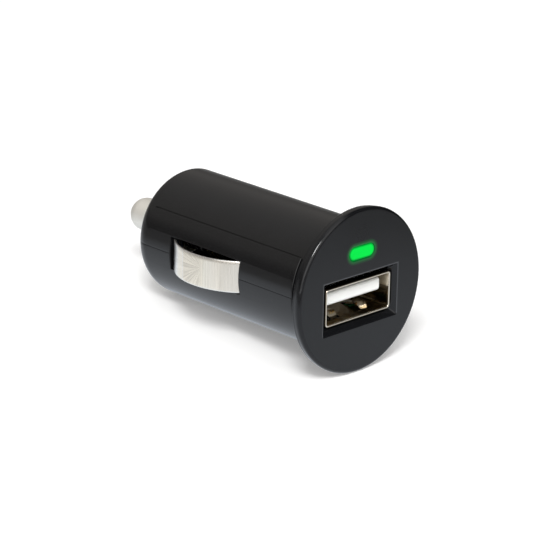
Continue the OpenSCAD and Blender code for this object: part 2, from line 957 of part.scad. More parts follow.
// The clip that holds the bead of the +X contact and joins it to the board
module contact_clip() {
    leg_in = pivot_x - clip_out;
    color([0.8, 0.66, 0.35]) {
        translate([pivot_x, pivot_y, 0])
            linear_extrude(clip_w, center = true)
                difference() {
                    circle(clip_out);
                    circle(clip_in);
                    wedge(3 * clip_out, clip_open_from, clip_open_to);
                }
        block([leg_in, pivot_y - clip_leg_w / 2, board_top],
            [leg_in + clip_t * 0.6, pivot_y + clip_leg_w / 2, 0]);
        block([leg_in - clip_foot_len, pivot_y - clip_leg_w / 2, board_top],
            [leg_in + clip_t * 0.6, pivot_y + clip_leg_w / 2, board_top + clip_t]);
    }
}

module contact_clip_right() { contact_clip(); }
module contact_clip_left() { mirror([1, 0, 0]) contact_clip(); }

// Centre pin and its spring

module centre_pin() {
    tip = barrel_len + pin_reach;
    color([0.78, 0.76, 0.72]) {
        bar_y(pin_r, collar_front, tip - pin_r);
        translate([0, tip - pin_r, 0])
            sphere(pin_r);
        bar_y(collar_r, collar_front, collar_rear);
        bar_y(guide_r, collar_front - guide_len, collar_front);
    }
}

// Height along the spring at turn t: the end coils lie closed, the others open
function coil_height(t) =
    let (run = spring_len - 2 * wire_r - 2 * face_gap, closed = 2.1 * wire_r)
    t < 1 ? closed * t
    : t > coil_turns - 1 ? run - closed * (coil_turns - t)
    : closed + (run - 2 * closed) * (t - 1) / (coil_turns - 2);

coil_steps = 20;
coil_sides = 8;

function coil_point(i, s) =
    let (
        t = i / coil_steps,
        a = 360 * t,
        r = coil_r + wire_r * cos(360 * s / coil_sides),
        h = coil_height(t) + wire_r * sin(360 * s / coil_sides))
    [r * cos(a), terminal_rear + face_gap + wire_r + h, r * sin(a)];

module pin_spring() {
    rings = coil_steps * coil_turns;
    points = [for (i = [0 : rings], s = [0 : coil_sides - 1]) coil_point(i, s)];
    sides = [for (i = [0 : rings - 1], s = [0 : coil_sides - 1])
        let (n = (s + 1) % coil_sides)
        [i * coil_sides + s, i * coil_sides + n,
            (i + 1) * coil_sides + n, (i + 1) * coil_sides + s]];
    first = [for (s = [coil_sides - 1 : -1 : 0]) s];
    last = [for (s = [0 : coil_sides - 1]) rings * coil_sides + s];
    color([0.7, 0.7, 0.7])
        polyhedron(points, concat(sides, [first, last]));
}

// The plate behind the spring, with a leg and a foot on the board
module spring_terminal() {
    color([0.8, 0.66, 0.35]) {
        bar_y(terminal_r, terminal_front, terminal_rear);
        bar_y(guide_r, terminal_rear, terminal_rear + terminal_stud_len);
        block([-terminal_leg_w / 2, terminal_front, board_top],
            [terminal_leg_w / 2, terminal_rear, 0]);
        block([-terminal_leg_w / 2, terminal_rear - terminal_foot_len, board_top],
            [terminal_leg_w / 2, terminal_rear, board_top + terminal_t]);
    }
}

upper_shell();
lower_shell();
front_cap();
indicator_led();
led_lead_left();
led_lead_right();
usb_shell();
usb_insulator();
usb_contact_1();
usb_contact_2();
usb_contact_3();
usb_contact_4();
circuit_board();
inductor_core();
inductor_winding();
input_capacitor();
output_capacitor();
controller_chip();
rectifier_diode();
chip_resistor_left();
chip_resistor_right();
chip_capacitor_left();
chip_capacitor_right();
side_contact_left();
side_contact_right();
contact_clip_left();
contact_clip_right();
centre_pin();
pin_spring();
spring_terminal();
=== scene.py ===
# %% [markdown]
# # A plug-in car charger
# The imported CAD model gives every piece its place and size. This script gives the
# pieces their looks: it builds finer meshes for what shows, and a finish for each
# piece. Shapes are made in millimetres and turned into metres when they are done,
# because Blender's tolerances and a maker's drawings both suit whole millimetres.

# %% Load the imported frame
import math

import bmesh
import bpy
from bmesh.types import BMEdge, BMVert
from mathutils import Matrix, Vector


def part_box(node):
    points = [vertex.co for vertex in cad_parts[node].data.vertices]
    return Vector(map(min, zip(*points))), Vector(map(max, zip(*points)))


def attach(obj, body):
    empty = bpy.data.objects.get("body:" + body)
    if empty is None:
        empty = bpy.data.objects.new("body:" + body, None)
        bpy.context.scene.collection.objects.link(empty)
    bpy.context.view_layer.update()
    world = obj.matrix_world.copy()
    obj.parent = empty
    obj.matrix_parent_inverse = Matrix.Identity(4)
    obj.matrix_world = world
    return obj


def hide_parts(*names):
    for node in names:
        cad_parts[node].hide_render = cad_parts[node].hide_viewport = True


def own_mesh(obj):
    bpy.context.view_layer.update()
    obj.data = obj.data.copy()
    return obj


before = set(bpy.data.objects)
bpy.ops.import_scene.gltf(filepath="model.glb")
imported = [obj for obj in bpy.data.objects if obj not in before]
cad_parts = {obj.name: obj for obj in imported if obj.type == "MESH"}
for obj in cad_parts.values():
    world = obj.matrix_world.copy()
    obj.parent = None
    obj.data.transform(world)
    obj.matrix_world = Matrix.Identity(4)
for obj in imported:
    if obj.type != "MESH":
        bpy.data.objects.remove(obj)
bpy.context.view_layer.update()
MM = 0.001

# %% [markdown]
# ## Camera
# The charger lies on its side on a table and is seen from the front left, a little
# from above. A long lens far away keeps the round cap nearly free of perspective.
# The view is given as angles and a distance, which is how a photographer would note
# it, and the camera's axes are worked out from them.

# %% Camera
AIM = Vector((0.0, 18.3, 0.0))
AZIMUTH, ELEVATION, ROLL = (math.radians(a) for a in (-43.989, 19.364, 1.002))
DISTANCE, SHIFT_RIGHT, SHIFT_UP = 352.95, -0.925, 2.07
LENS, SENSOR = 160.04, 36.0

back = Vector((math.sin(AZIMUTH) * math.cos(ELEVATION),
               -math.cos(AZIMUTH) * math.cos(ELEVATION), math.sin(ELEVATION)))
level_right = (-back).cross(Vector((0, 0, 1))).normalized()
level_up = level_right.cross(-back)
right = math.cos(ROLL) * level_right + math.sin(ROLL) * level_up
up = math.cos(ROLL) * level_up - math.sin(ROLL) * level_right

camera = bpy.data.objects.new("camera", bpy.data.cameras.new("camera"))
bpy.context.scene.collection.objects.link(camera)
camera.data.lens, camera.data.sensor_width = LENS, SENSOR
camera.data.clip_start, camera.data.clip_end = 0.01, 20.0
place = (AIM - SHIFT_RIGHT * right - SHIFT_UP * up + DISTANCE * back) * MM
camera.matrix_world = Matrix.Translation(place) @ Matrix(
    (right, up, back)).transposed().to_4x4()
bpy.context.scene.camera = camera
bpy.context.scene.view_settings.view_transform = "Standard"
print("camera stands at", [round(c, 4) for c in place])

# %% [markdown]
# ## Effects that several finishes share
# A moulded plastic skin, a rolled or drawn metal surface and faint handling marks
# turn up on many pieces. Each is a node group, built once, with its own values in
# every material. A group only puts out colours and numbers: the shader stays in the
# material, where it can be read and exported.


# %% Helpers for shader trees
FLOAT, COLOUR, VECTOR = "NodeSocketFloat", "NodeSocketColor", "NodeSocketVector"


def node_group(name, inputs, outputs):
    """An empty shader group with named sockets, and its input and output nodes."""
    group = bpy.data.node_groups.new(name, "ShaderNodeTree")
    for label, kind, value in inputs:
        socket = group.interface.new_socket(label, in_out="INPUT", socket_type=kind)
        if value is not None:
            socket.default_value = value
    for label, kind in outputs:
        group.interface.new_socket(label, in_out="OUTPUT", socket_type=kind)
    return (group, group.nodes.new("NodeGroupInput").outputs,
            group.nodes.new("NodeGroupOutput").inputs)


def put(tree, kind, settings=None, links=None):
    """Adds a shader node, sets its properties and sockets, and links into it."""
    node = tree.nodes.new("ShaderNode" + kind)
    for key, value in (settings or {}).items():
        if isinstance(key, str) and hasattr(node, key):
            setattr(node, key, value)
        else:
            node.inputs[key].default_value = value
    feed(tree, node, links or {})
    return node


def feed(tree, node, sources):
    """Links sockets into a node's inputs, by the inputs' names."""
    for key, source in sources.items():
        tree.links.new(source, node.inputs[key])


def noise(tree, vector, scale, detail=2.0, roughness=0.5):
    """A noise texture's value, from 0 to 1."""
    node = put(tree, "TexNoise",
               {"Scale": scale, "Detail": detail, "Roughness": roughness},
               {"Vector": vector})
    return node.outputs["Fac"]


def arithmetic(operation):
    """A function that adds one kind of arithmetic step to a tree."""
    def add_step(tree, first, second=None, clamp=False):
        node = put(tree, "Math", {"operation": operation, "use_clamp": clamp})
        for slot, value in ((0, first), (1, second)):
            if isinstance(value, (int, float)):
                node.inputs[slot].default_value = value
            elif value is not None:
                tree.links.new(value, node.inputs[slot])
        return node.outputs[0]
    return add_step


plus, minus, times, over = (arithmetic(kind) for kind in (
    "ADD", "SUBTRACT", "MULTIPLY", "DIVIDE"))
larger, size_of, root, turn_of = (arithmetic(kind) for kind in (
    "MAXIMUM", "ABSOLUTE", "SQRT", "ARCTAN2"))
is_above, is_below = arithmetic("GREATER_THAN"), arithmetic("LESS_THAN")


def remap(tree, value, low, high, to_low=0.0, to_high=1.0, smooth=False):
    """A value spread from one range to another."""
    kind = "SMOOTHSTEP" if smooth else "LINEAR"
    node = put(tree, "MapRange", {"interpolation_type": kind},
               {"Value": value})
    for label, number in (("From Min", low), ("From Max", high),
                          ("To Min", to_low), ("To Max", to_high)):
        if isinstance(number, (int, float)):
            node.inputs[label].default_value = number
        else:
            tree.links.new(number, node.inputs[label])
    return node.outputs["Result"]


def blend_colours(tree, share, first, second, how="MIX"):
    """A mix of two colours by a share from 0 to 1."""
    node = put(tree, "Mix", {"data_type": "RGBA", "blend_type": how})
    for slot, value in ((0, share), (6, first), (7, second)):
        if isinstance(value, tuple):
            node.inputs[slot].default_value = (*value, 1)
        elif isinstance(value, float):
            node.inputs[slot].default_value = value
        else:
            tree.links.new(value, node.inputs[slot])
    return node.outputs[2]


def colour_ramp(tree, value, stops):
    """A colour read off a row of (position, colour) stops."""
    node = put(tree, "ValToRGB", {}, {"Fac": value})
    ramp = node.color_ramp
    for element, (position, colour) in zip(ramp.elements, (stops[0], stops[-1])):
        element.position, element.color = position, (*colour, 1)
    for position, colour in stops[1:-1]:
        ramp.elements.new(position).color = (*colour, 1)
    return node.outputs["Color"]


def spot_and_axes(tree):
    """A point's place on the charger, as one vector and as X, Y and Z."""
    spot = put(tree, "TexCoord").outputs["Object"]
    return spot, put(tree, "SeparateXYZ", {}, {"Vector": spot}).outputs


# %% [markdown]
# ### Moulded skin
# A steel mould leaves a very fine grain on plastic, and the gloss drifts a little
# from place to place where the melt cooled at different speeds. Fine noise makes
# the grain, and a wide soft noise makes the drift.

# %% Moulded skin group
skin, skin_in, skin_out = node_group("moulded_skin", [
    ("Colour", COLOUR, None), ("Second colour", COLOUR, None),
    ("Roughness", FLOAT, 0.3), ("Roughness drift", FLOAT, 0.05),
    ("Grain scale", FLOAT, 6000.0), ("Drift scale", FLOAT, 160.0),
], [("Colour", COLOUR), ("Roughness", FLOAT), ("Height", FLOAT)])
spot = put(skin, "TexCoord").outputs["Object"]
grain = put(skin, "TexNoise", {"Detail": 3.0},
            {"Vector": spot, "Scale": skin_in["Grain scale"]}).outputs["Fac"]
drift = put(skin, "TexNoise", {"Detail": 2.0},
            {"Vector": spot, "Scale": skin_in["Drift scale"]}).outputs["Fac"]
shade = remap(skin, plus(skin, grain, drift), 0.7, 1.3)
skin.links.new(blend_colours(skin, shade, skin_in["Colour"],
                             skin_in["Second colour"]), skin_out["Colour"])
swing = times(skin, remap(skin, drift, 0.3, 0.7, -1.0, 1.0), skin_in["Roughness drift"])
skin.links.new(plus(skin, skin_in["Roughness"], swing, clamp=True),
               skin_out["Roughness"])
skin.links.new(grain, skin_out["Height"])
print("moulded_skin:", len(skin.nodes), "nodes")

# %% [markdown]
# ### Worked metal
# Sheet is rolled and pins are turned, so the surface carries fine lines in one
# direction. The pattern comes in already stretched by a Mapping node in each
# material. The lines change the colour a little, the gloss a little and the height
# very little, as plating fills most of them.

# %% Worked metal group
worked, worked_in, worked_out = node_group("worked_metal", [
    ("Vector", VECTOR, None), ("Colour", COLOUR, None), ("Line colour", COLOUR, None),
    ("Roughness", FLOAT, 0.2), ("Line roughness", FLOAT, 0.35), ("Cloud", FLOAT, 0.3),
], [("Colour", COLOUR), ("Roughness", FLOAT), ("Height", FLOAT)])
lines = noise(worked, worked_in["Vector"], 1.0, 3.0, 0.6)
spot = put(worked, "TexCoord").outputs["Object"]
cloud = noise(worked, spot, 420.0, 3.0)
cloud_mask = times(worked, remap(worked, cloud, 0.35, 0.75), worked_in["Cloud"])
mask = larger(worked, times(worked, remap(worked, lines, 0.42, 0.66), 0.6), cloud_mask)
worked.links.new(blend_colours(worked, mask, worked_in["Colour"],
                               worked_in["Line colour"]), worked_out["Colour"])
worked.links.new(remap(worked, mask, 0.0, 1.0, worked_in["Roughness"],
                       worked_in["Line roughness"]), worked_out["Roughness"])
worked.links.new(lines, worked_out["Height"])
print("worked_metal:", len(worked.nodes), "nodes")


# %% [markdown]
# ### Material builders
# A plastic is a dielectric: dark or light, with a clear reflection of about four in
# a hundred on top. A metal takes its colour from the reflection. Two small
# functions wire a group into a Principled shader, so each finish below is one line
# of values.

# %% Material builders
def new_material(name):
    """A material with a Principled shader, as (material, tree, shader)."""
    material = bpy.data.materials.new(name)
    material.use_nodes = True
    tree = material.node_tree
    return material, tree, tree.nodes["Principled BSDF"]


def use_group(tree, group, values):
    """Puts a group into a tree, with this material's own values."""
    node = put(tree, "Group", {"node_tree": group})
    for label, value in values.items():
        node.inputs[label].default_value = (
            (*value, 1) if isinstance(value, tuple) else value)
    return node


def add_bump(tree, shader, height, depth_mm):
    """Lets a height stand out of the surface, or sink into it."""
    bump = put(tree, "Bump", {"Strength": 1.0, "Distance": depth_mm * MM},
               {"Height": height})
    feed(tree, shader, {"Normal": bump.outputs["Normal"]})


def wire(tree, group_node, shader, bump_mm):
    """Feeds a group's colour, roughness and height into the shader."""
    feed(tree, shader, {"Base Color": group_node.outputs["Colour"],
                        "Roughness": group_node.outputs["Roughness"]})
    add_bump(tree, shader, group_node.outputs["Height"], bump_mm)


def plastic(name, colour, second, roughness, drift=0.04, grain=6000.0,
            bump_mm=0.002, ior=1.5):
    """A moulded plastic with a fine grain."""
    material, tree, shader = new_material(name)
    wire(tree, use_group(tree, skin, {
        "Colour": colour, "Second colour": second, "Roughness": roughness,
        "Roughness drift": drift, "Grain scale": grain}), shader, bump_mm)
    shader.inputs["IOR"].default_value = ior
    return material


def metal(name, colour, second, roughness, line_roughness, stretch, bump_mm=0.001,
          cloud=0.3):
    """A worked metal. stretch gives the lines per metre along X, Y and Z."""
    material, tree, shader = new_material(name)
    spot = put(tree, "TexCoord").outputs["Object"]
    mapped = put(tree, "Mapping", {"Scale": stretch}, {"Vector": spot})
    node = use_group(tree, worked, {
        "Colour": colour, "Line colour": second, "Roughness": roughness,
        "Line roughness": line_roughness, "Cloud": cloud})
    feed(tree, node, {"Vector": mapped.outputs["Vector"]})
    wire(tree, node, shader, bump_mm)
    shader.inputs["Metallic"].default_value = 1.0
    return material


def recolour(tree, shader, share, colour):
    """Mixes one more colour over a shader's base colour."""
    under = shader.inputs["Base Color"].links[0].from_socket
    feed(tree, shader, {"Base Color": blend_colours(tree, share, under, colour)})


def vary_roughness(material, mask_of, factor):
    """Multiplies a material's roughness by a factor where a mask is 1."""
    tree = material.node_tree
    shader = tree.nodes["Principled BSDF"]
    change = remap(tree, mask_of(tree, spot_and_axes(tree)[1]), 0.0, 1.0, 1.0, factor)
    under = shader.inputs["Roughness"].links[0].from_socket
    feed(tree, shader, {"Roughness": times(tree, under, change, clamp=True)})


# %% [markdown]
# ## Finishing a mesh
# Every new piece ends the same way: scaled to metres, shaded smooth except at real
# edges, linked, and parented to the CAD body, while the CAD nodes that it stands for
# are hidden. The corner normals are weighted by face area, so that flat faces stay flat
# up to their rounded edges, as on a precise moulding.

# %% Finish a piece
def mesh_of(bm, name, *materials):
    """Turns a bmesh into a mesh with its materials, and frees the bmesh."""
    mesh = bpy.data.meshes.new(name)
    bm.to_mesh(mesh)
    bm.free()
    for material in materials:
        mesh.materials.append(material)
    return mesh


def add_object(name, data):
    """Puts an object with this data into the scene."""
    thing = bpy.data.objects.new(name, data)
    bpy.context.scene.collection.objects.link(thing)
    return thing


def in_metres(bm):
    """Scales a shape from millimetres to metres and shades it smooth."""
    bmesh.ops.scale(bm, vec=(MM, MM, MM), verts=bm.verts)
    for face in bm.faces:
        face.smooth = True


def hand_over(piece, body, nodes):
    """Parents a piece to its CAD body and hides the CAD nodes it stands for."""
    piece.modifiers.new("weighted_normals", "WEIGHTED_NORMAL").keep_sharp = True
    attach(piece, body)
    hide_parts(*nodes)


def finish_piece(bm, name, body, nodes, material, sharp_deg=30.0):
    """Turns a bmesh in millimetres into a piece of the charger."""
    in_metres(bm)
    for edge in bm.edges:
        edge.smooth = (len(edge.link_faces) == 2
                       and edge.calc_face_angle(0.0) < math.radians(sharp_deg))
    open_edges = sum(len(edge.link_faces) != 2 for edge in bm.edges)
    mesh = mesh_of(bm, name, material)
    piece = add_object(name, mesh)
    hand_over(piece, body, nodes)
    print(f"{name}: {len(mesh.polygons)} faces, {open_edges} open edges")
    return piece


# %% [markdown]
# Cutting, capping and making boxes come up again and again. These helpers say each
# of them once, so that the shapes below read as a list of steps.

# %% Small mesh helpers
def everything(bm):
    """All parts of a bmesh, as the cutting operators want them."""
    return bm.verts[:] + bm.edges[:] + bm.faces[:]


def only(kind, geometry):
    """The vertices (BMVert) or edges (BMEdge) that an operator has made."""
    return [g for g in geometry if isinstance(g, kind)]


def rim_edges(bm, side=0):
    """The open edges of a mesh, on one side of the axis or on both."""
    return [e for e in bm.edges
            if len(e.link_faces) == 1 and e.verts[0].co.x * side >= 0]


def cut_at(bm, point, normal, **clear):
    """Cuts a bmesh with a plane. clear_inner or clear_outer throws one side away."""
    bmesh.ops.bisect_plane(bm, geom=everything(bm), dist=1e-4, plane_co=point,
                           plane_no=normal, **clear)


def cap_rim(bm):
    """Closes the flat holes that a cut leaves."""
    bmesh.ops.holes_fill(bm, edges=rim_edges(bm), sides=0)


def face_outward(bm):
    bmesh.ops.recalc_face_normals(bm, faces=bm.faces)


def upright(y, z, *sizes):
    """Stands a flat shape up so that it faces the port's side, at y and z."""
    scale = Matrix.Diagonal((*sizes, 1.0, 1.0)) if sizes else Matrix.Identity(4)
    return Matrix.Translation((0, y, z)) @ Matrix.Rotation(math.pi / 2, 4, "X") @ scale


def box(bm, low, high):
    """A box from its lowest to its highest corner. Returns its vertices."""
    low, high = Vector(low), Vector(high)
    return bmesh.ops.create_cube(bm, size=1.0, matrix=Matrix.Translation(
        (low + high) / 2) @ Matrix.Diagonal((*(high - low), 1)))["verts"]


# %% [markdown]
# ## The black shells
# The barrel is moulded in two halves that part along a level line. It is glossy,
# nearly black, and its gloss is slightly soft. A closed profile of the wall is spun
# once round the axis: that gives outside, inside and end wall in one piece. The
# slots are then cut out, the top is pressed in by a quarter of a millimetre where a
# label would go, and the halves are cut apart and capped.

# %% Shell plastic
shell_black = plastic("shell_black", (0.0036, 0.0037, 0.0041), (0.0052, 0.0053, 0.0058),
                      0.13, drift=0.015, grain=9000.0, bump_mm=0.0008)


def label_mask(tree, axes):
    """1 on the label field, which lies lower than the rest of the barrel."""
    square = plus(tree, times(tree, axes["X"], axes["X"]),
                  times(tree, axes["Z"], axes["Z"]))
    low = remap(tree, root(tree, square), 9.5 * MM, 9.6 * MM, 1.0, 0.0)
    return times(tree, low, is_above(tree, axes["Y"], 2.5 * MM))


vary_roughness(shell_black, label_mask, 1.7)


# %% Turned profiles
def corner(centre_r, centre_y, radius, start, end, steps):
    """A rounded corner of a turned profile, as (radius, y) points."""
    turns = [math.radians(start + (end - start) * i / steps) for i in range(steps + 1)]
    return [(centre_r + radius * math.cos(t), centre_y + radius * math.sin(t))
            for t in turns]


def turn(bm, profile, steps=180, angle=360.0, closed=True):
    """Spins a profile of (radius, y) points round the barrel's axis."""
    verts = [bm.verts.new((r, y, 0.0)) for r, y in profile]
    ends = verts[1:] + (verts[:1] if closed else [])
    edges = [bm.edges.new(pair) for pair in zip(verts, ends)]
    bmesh.ops.spin(bm, geom=verts + edges, axis=(0, 1, 0), cent=(0, 0, 0),
                   angle=math.radians(angle), steps=steps,
                   use_merge=angle == 360.0, use_duplicate=False)
    bmesh.ops.remove_doubles(bm, verts=bm.verts, dist=1e-5)
    face_outward(bm)


BARREL_R, LABEL_R, BORE_R = 9.7, 9.45, 8.35
SLOT_FRONT, SLOT_REAR, SLOT_HALF, SLOT_INNER_FRONT = 13.45, 28.3, 2.52, 12.6
wall_profile = (
    [(9.4, 0.0), (LABEL_R, 0.05), (LABEL_R, 2.35), (LABEL_R, 2.4)]
    + corner(9.5, 2.6, 0.2, -90, 0, 5)
    + [(BARREL_R, 2.7), (BARREL_R, SLOT_FRONT), (BARREL_R, SLOT_REAR), (BARREL_R, 33.5)]
    + corner(6.65, 33.65, 3.05, 0, 23.36, 4) + corner(6.65, 33.65, 3.05, 29, 90, 10)
    + [(6.5, 36.7), (2.85, 36.7)] + corner(2.85, 36.5, 0.2, 90, 180, 4)
    + [(2.65, 35.15)] + corner(6.65, 33.45, 1.7, 90, 0, 6)
    + [(BORE_R, SLOT_REAR), (BORE_R, SLOT_INNER_FRONT), (BORE_R, 5.0), (8.65, 4.6),
       (8.65, 4.1), (BORE_R, 3.77), (BORE_R, 0.0)])
barrel = bmesh.new()
turn(barrel, wall_profile)
print("barrel spun:", len(barrel.faces), "faces")

# %% [markdown]
# The slots have parallel sides, so two level planes are cut through the barrel
# first. Then the faces of the slot are deleted outside and inside, and the two rims
# are bridged. The front wall of the slot slants inwards, to let the bowed contact
# pass below it. The inner rim has one vertex more at each corner than the outer one,
# because it is narrower: those are dissolved, so that both rims match.

# %% Cut the slots
for level in (-SLOT_HALF, SLOT_HALF):
    cut_at(barrel, (0, 0, level), (0, 0, 1))


OUTSIDE_R, INSIDE_R, SIDE_X = 9.2, 8.5, 6.0


def in_slot(face):
    """True for a face of the outside or of the bore that lies in a slot."""
    middle = face.calc_center_median()
    radius = math.hypot(middle.x, middle.z)
    if abs(middle.z) > SLOT_HALF or abs(middle.x) < SIDE_X:
        return False
    return (radius > OUTSIDE_R and SLOT_FRONT < middle.y < SLOT_REAR
            or radius < INSIDE_R and SLOT_INNER_FRONT < middle.y < SLOT_REAR)


bmesh.ops.delete(barrel, geom=[f for f in barrel.faces if in_slot(f)], context="FACES")
spare = {v for e in rim_edges(barrel) for v in e.verts
         if math.hypot(v.co.x, v.co.z) < 8.6
         and 15.5 < abs(math.degrees(math.atan2(v.co.z, abs(v.co.x)))) < 16.9}
bmesh.ops.dissolve_verts(barrel, verts=list(spare))
for side in (-1, 1):
    bmesh.ops.bridge_loops(barrel, edges=rim_edges(barrel, side))
face_outward(barrel)
print("slots cut, open edges:", len(rim_edges(barrel)))


# %% [markdown]
# The halves are two copies of the barrel, each cut at the parting plane and capped.
# Only the upper one gets the label field. Its faces are extruded, which keeps a wall
# at the border, and then everything in the field is drawn in to the field's radius.

# %% Part the barrel
def half_barrel(keep):
    """The upper (keep = 1) or lower (keep = -1) half of the barrel, capped."""
    half = barrel.copy()
    cut_at(half, (0, 0, 0), (0, 0, keep), clear_inner=True)
    cap_rim(half)
    face_outward(half)
    return half


def radius_of(vert):
    return math.hypot(vert.co.x, vert.co.z)


LABEL_ANGLE, GROOVE_ANGLE, GROOVE_R = math.radians(35.0), math.radians(36.2), 9.2
upper = half_barrel(1)
for side in (-1, 1):
    for turned in (LABEL_ANGLE, GROOVE_ANGLE):
        cut_at(upper, (0, 0, 0), (-side * math.sin(turned), 0, math.cos(turned)))


def turned_by(vector):
    """The angle of a place above the parting plane, the same on both sides."""
    return math.atan2(vector.z, abs(vector.x))


def press_in(bm, field, radius):
    """Extrudes faces and draws the new ones in to a radius round the axis."""
    made = bmesh.ops.extrude_face_region(bm, geom=field)
    bmesh.ops.delete(bm, geom=[f for f in field if f.is_valid], context="FACES")
    pressed = only(BMVert, made["geom"])
    for vert in pressed:
        shrink = min(1.0, radius / radius_of(vert))
        vert.co.x *= shrink
        vert.co.z *= shrink
    bmesh.ops.remove_doubles(bm, verts=bm.verts, dist=2e-4)
    face_outward(bm)
    return len(pressed)


def outer_faces(bm, low_y, high_y, low_turn, high_turn, low_r):
    """Faces of the outside between two planes and between two angles."""
    chosen = []
    for face in bm.faces:
        middle = face.calc_center_median()
        if (low_y < middle.y < high_y and low_turn < turned_by(middle) < high_turn
                and math.hypot(middle.x, middle.z) > low_r):
            chosen.append(face)
    return chosen


FIELD_FRONT, FIELD_REAR = 2.39, 34.9
GROOVE_FRONT, GROOVE_REAR = 2.72, 33.5
print("label field:", press_in(upper, outer_faces(
    upper, FIELD_FRONT, FIELD_REAR, LABEL_ANGLE, 2.0, LABEL_R - 0.02), LABEL_R),
    "vertices")
print("groove:", press_in(upper, outer_faces(
    upper, GROOVE_FRONT, GROOVE_REAR, LABEL_ANGLE, GROOVE_ANGLE, 9.3), GROOVE_R),
    "vertices")


# %% [markdown]
# Edges of a moulding are never knife sharp. The parting edges, the slots' rims and
# the border of the label field get a small bevel, which also draws the thin lines
# of light that the eye reads as precise. The parting edges' bevels make the groove
# where the halves meet.

# %% Soften the edges
def soften(bm, edges, width, segments=2):
    """Bevels edges by a width in millimetres."""
    bmesh.ops.bevel(bm, geom=edges, offset=width, offset_type="OFFSET",
                    segments=segments, profile=0.5, affect="EDGES", material=-1)


def level_with(edge, height, tolerance=1e-3):
    return all(abs(v.co.z - height) < tolerance for v in edge.verts)


def soften_shell(bm):
    """Bevels a half shell's parting groove and the outer rims of its slots."""
    outer = [e for e in bm.edges if all(radius_of(v) > 9.3 for v in e.verts)]
    parting = [e for e in outer if level_with(e, 0.0)
               and all(v.co.y > 2.3 for v in e.verts)]
    rims = [e for e in outer if not level_with(e, 0.0)
            and e.calc_face_angle(0.0) > math.radians(55)
            and all(SLOT_FRONT - 0.1 < v.co.y < SLOT_REAR + 0.1
                    and abs(v.co.z) < SLOT_HALF + 0.05 for v in e.verts)]
    soften(bm, parting + rims, 0.08)
    return len(parting), len(rims)


print("upper:", soften_shell(upper))
border = [e for e in upper.edges
          if e.calc_face_angle(0.0) > math.radians(60)
          and all(radius_of(v) > BARREL_R - 0.002 and 2.6 < v.co.y < 33.6
                  and abs(turned_by(v.co) - LABEL_ANGLE) < 0.01 for v in e.verts)]
soften(upper, border, 0.07)
print("label border:", len(border), "edges")
lower = half_barrel(-1)
print("lower:", soften_shell(lower))


# %% [markdown]
# Inside, the lower shell has three crescent ribs that the circuit board lies on and
# a rail over each edge of it, and the upper shell has a post that holds the board
# down. Each is a round slab that fits the bore, trimmed with planes.

# %% Ribs, rails and post
def slab(bm, radius, y0, y1, cuts):
    """A round slab from y0 to y1, trimmed by planes of (point, outward normal)."""
    part = bmesh.new()
    bmesh.ops.create_circle(part, cap_ends=True, radius=radius, segments=180,
                            matrix=upright(y0, 0.0))
    top = bmesh.ops.extrude_face_region(part, geom=part.faces[:])
    bmesh.ops.translate(part, vec=(0, y1 - y0, 0),
                        verts=only(BMVert, top["geom"]))
    for point, normal in cuts:
        cut_at(part, point, normal, clear_outer=True)
        cap_rim(part)
    face_outward(part)
    mesh = mesh_of(part, "slab")
    bm.from_mesh(mesh)
    bpy.data.meshes.remove(mesh)


SEAT_R = 9.0
BOARD_BOTTOM = -5.25
for rib_y in (4.6, 13.1, 24.3):
    slab(lower, SEAT_R, rib_y, rib_y + 1.0, [((0, 0, BOARD_BOTTOM), (0, 0, 1))])
for side in (-1, 1):
    slab(lower, SEAT_R, 25.55, 27.45, [
        ((0, 0, -3.35), (0, 0, 1)), ((0, 0, -4.15), (0, 0, -1)),
        ((side * 5.5, 0, 0), (-side, 0, 0))])
slab(upper, SEAT_R, 25.9, 27.1, [
    ((0, 0, -3.8), (0, 0, -1)), ((1, 0, 0), (1, 0, 0)), ((-1, 0, 0), (-1, 0, 0))])
print("ribs added: lower has", len(lower.faces), "faces")

# %% Finish the shells
finish_piece(upper, "barrel_upper_half", "housing",
             ["upper_shell"], shell_black)
finish_piece(lower, "barrel_lower_half", "housing",
             ["lower_shell"], shell_black)
barrel.free()

# %% [markdown]
# ## The front cap
# The cap is a round flange with a satin face. A sloping border leads into the port,
# and a small window lets the lamp through. It is built from rings: a closed loop of
# edges is extruded, and the copy is rescaled and moved back, again and again. Three
# loops are drawn on the face (the round edge, the border and the window), the space
# between them is filled, and each loop is then carried to the back in rings.

# %% Cap plastic
cap_black = plastic("cap_black", (0.0038, 0.0041, 0.0048), (0.0056, 0.0060, 0.0070),
                    0.30, drift=0.03, grain=7000.0, bump_mm=0.0016, ior=1.42)
vary_roughness(cap_black, lambda tree, axes: remap(
    tree, axes["Y"], -1.69 * MM, -1.62 * MM), 0.3)

FACE_Y, FLANGE_R, PORT_Z = -1.7, 12.25, -1.4
BORDER_W, BORDER_H = 14.8, 7.8
LAMP_W, LAMP_H, LAMP_Z = 5.0, 2.0, 5.8


def away_from_lamp(tree, axes):
    """The distance in metres to the middle line of the lamp's pill shape."""
    along = larger(tree, minus(tree, size_of(tree, axes["X"]),
                               (LAMP_W - LAMP_H) / 2 * MM), 0.0)
    across = minus(tree, axes["Z"], LAMP_Z * MM)
    return root(tree, plus(tree, times(tree, along, along),
                           times(tree, across, across)))
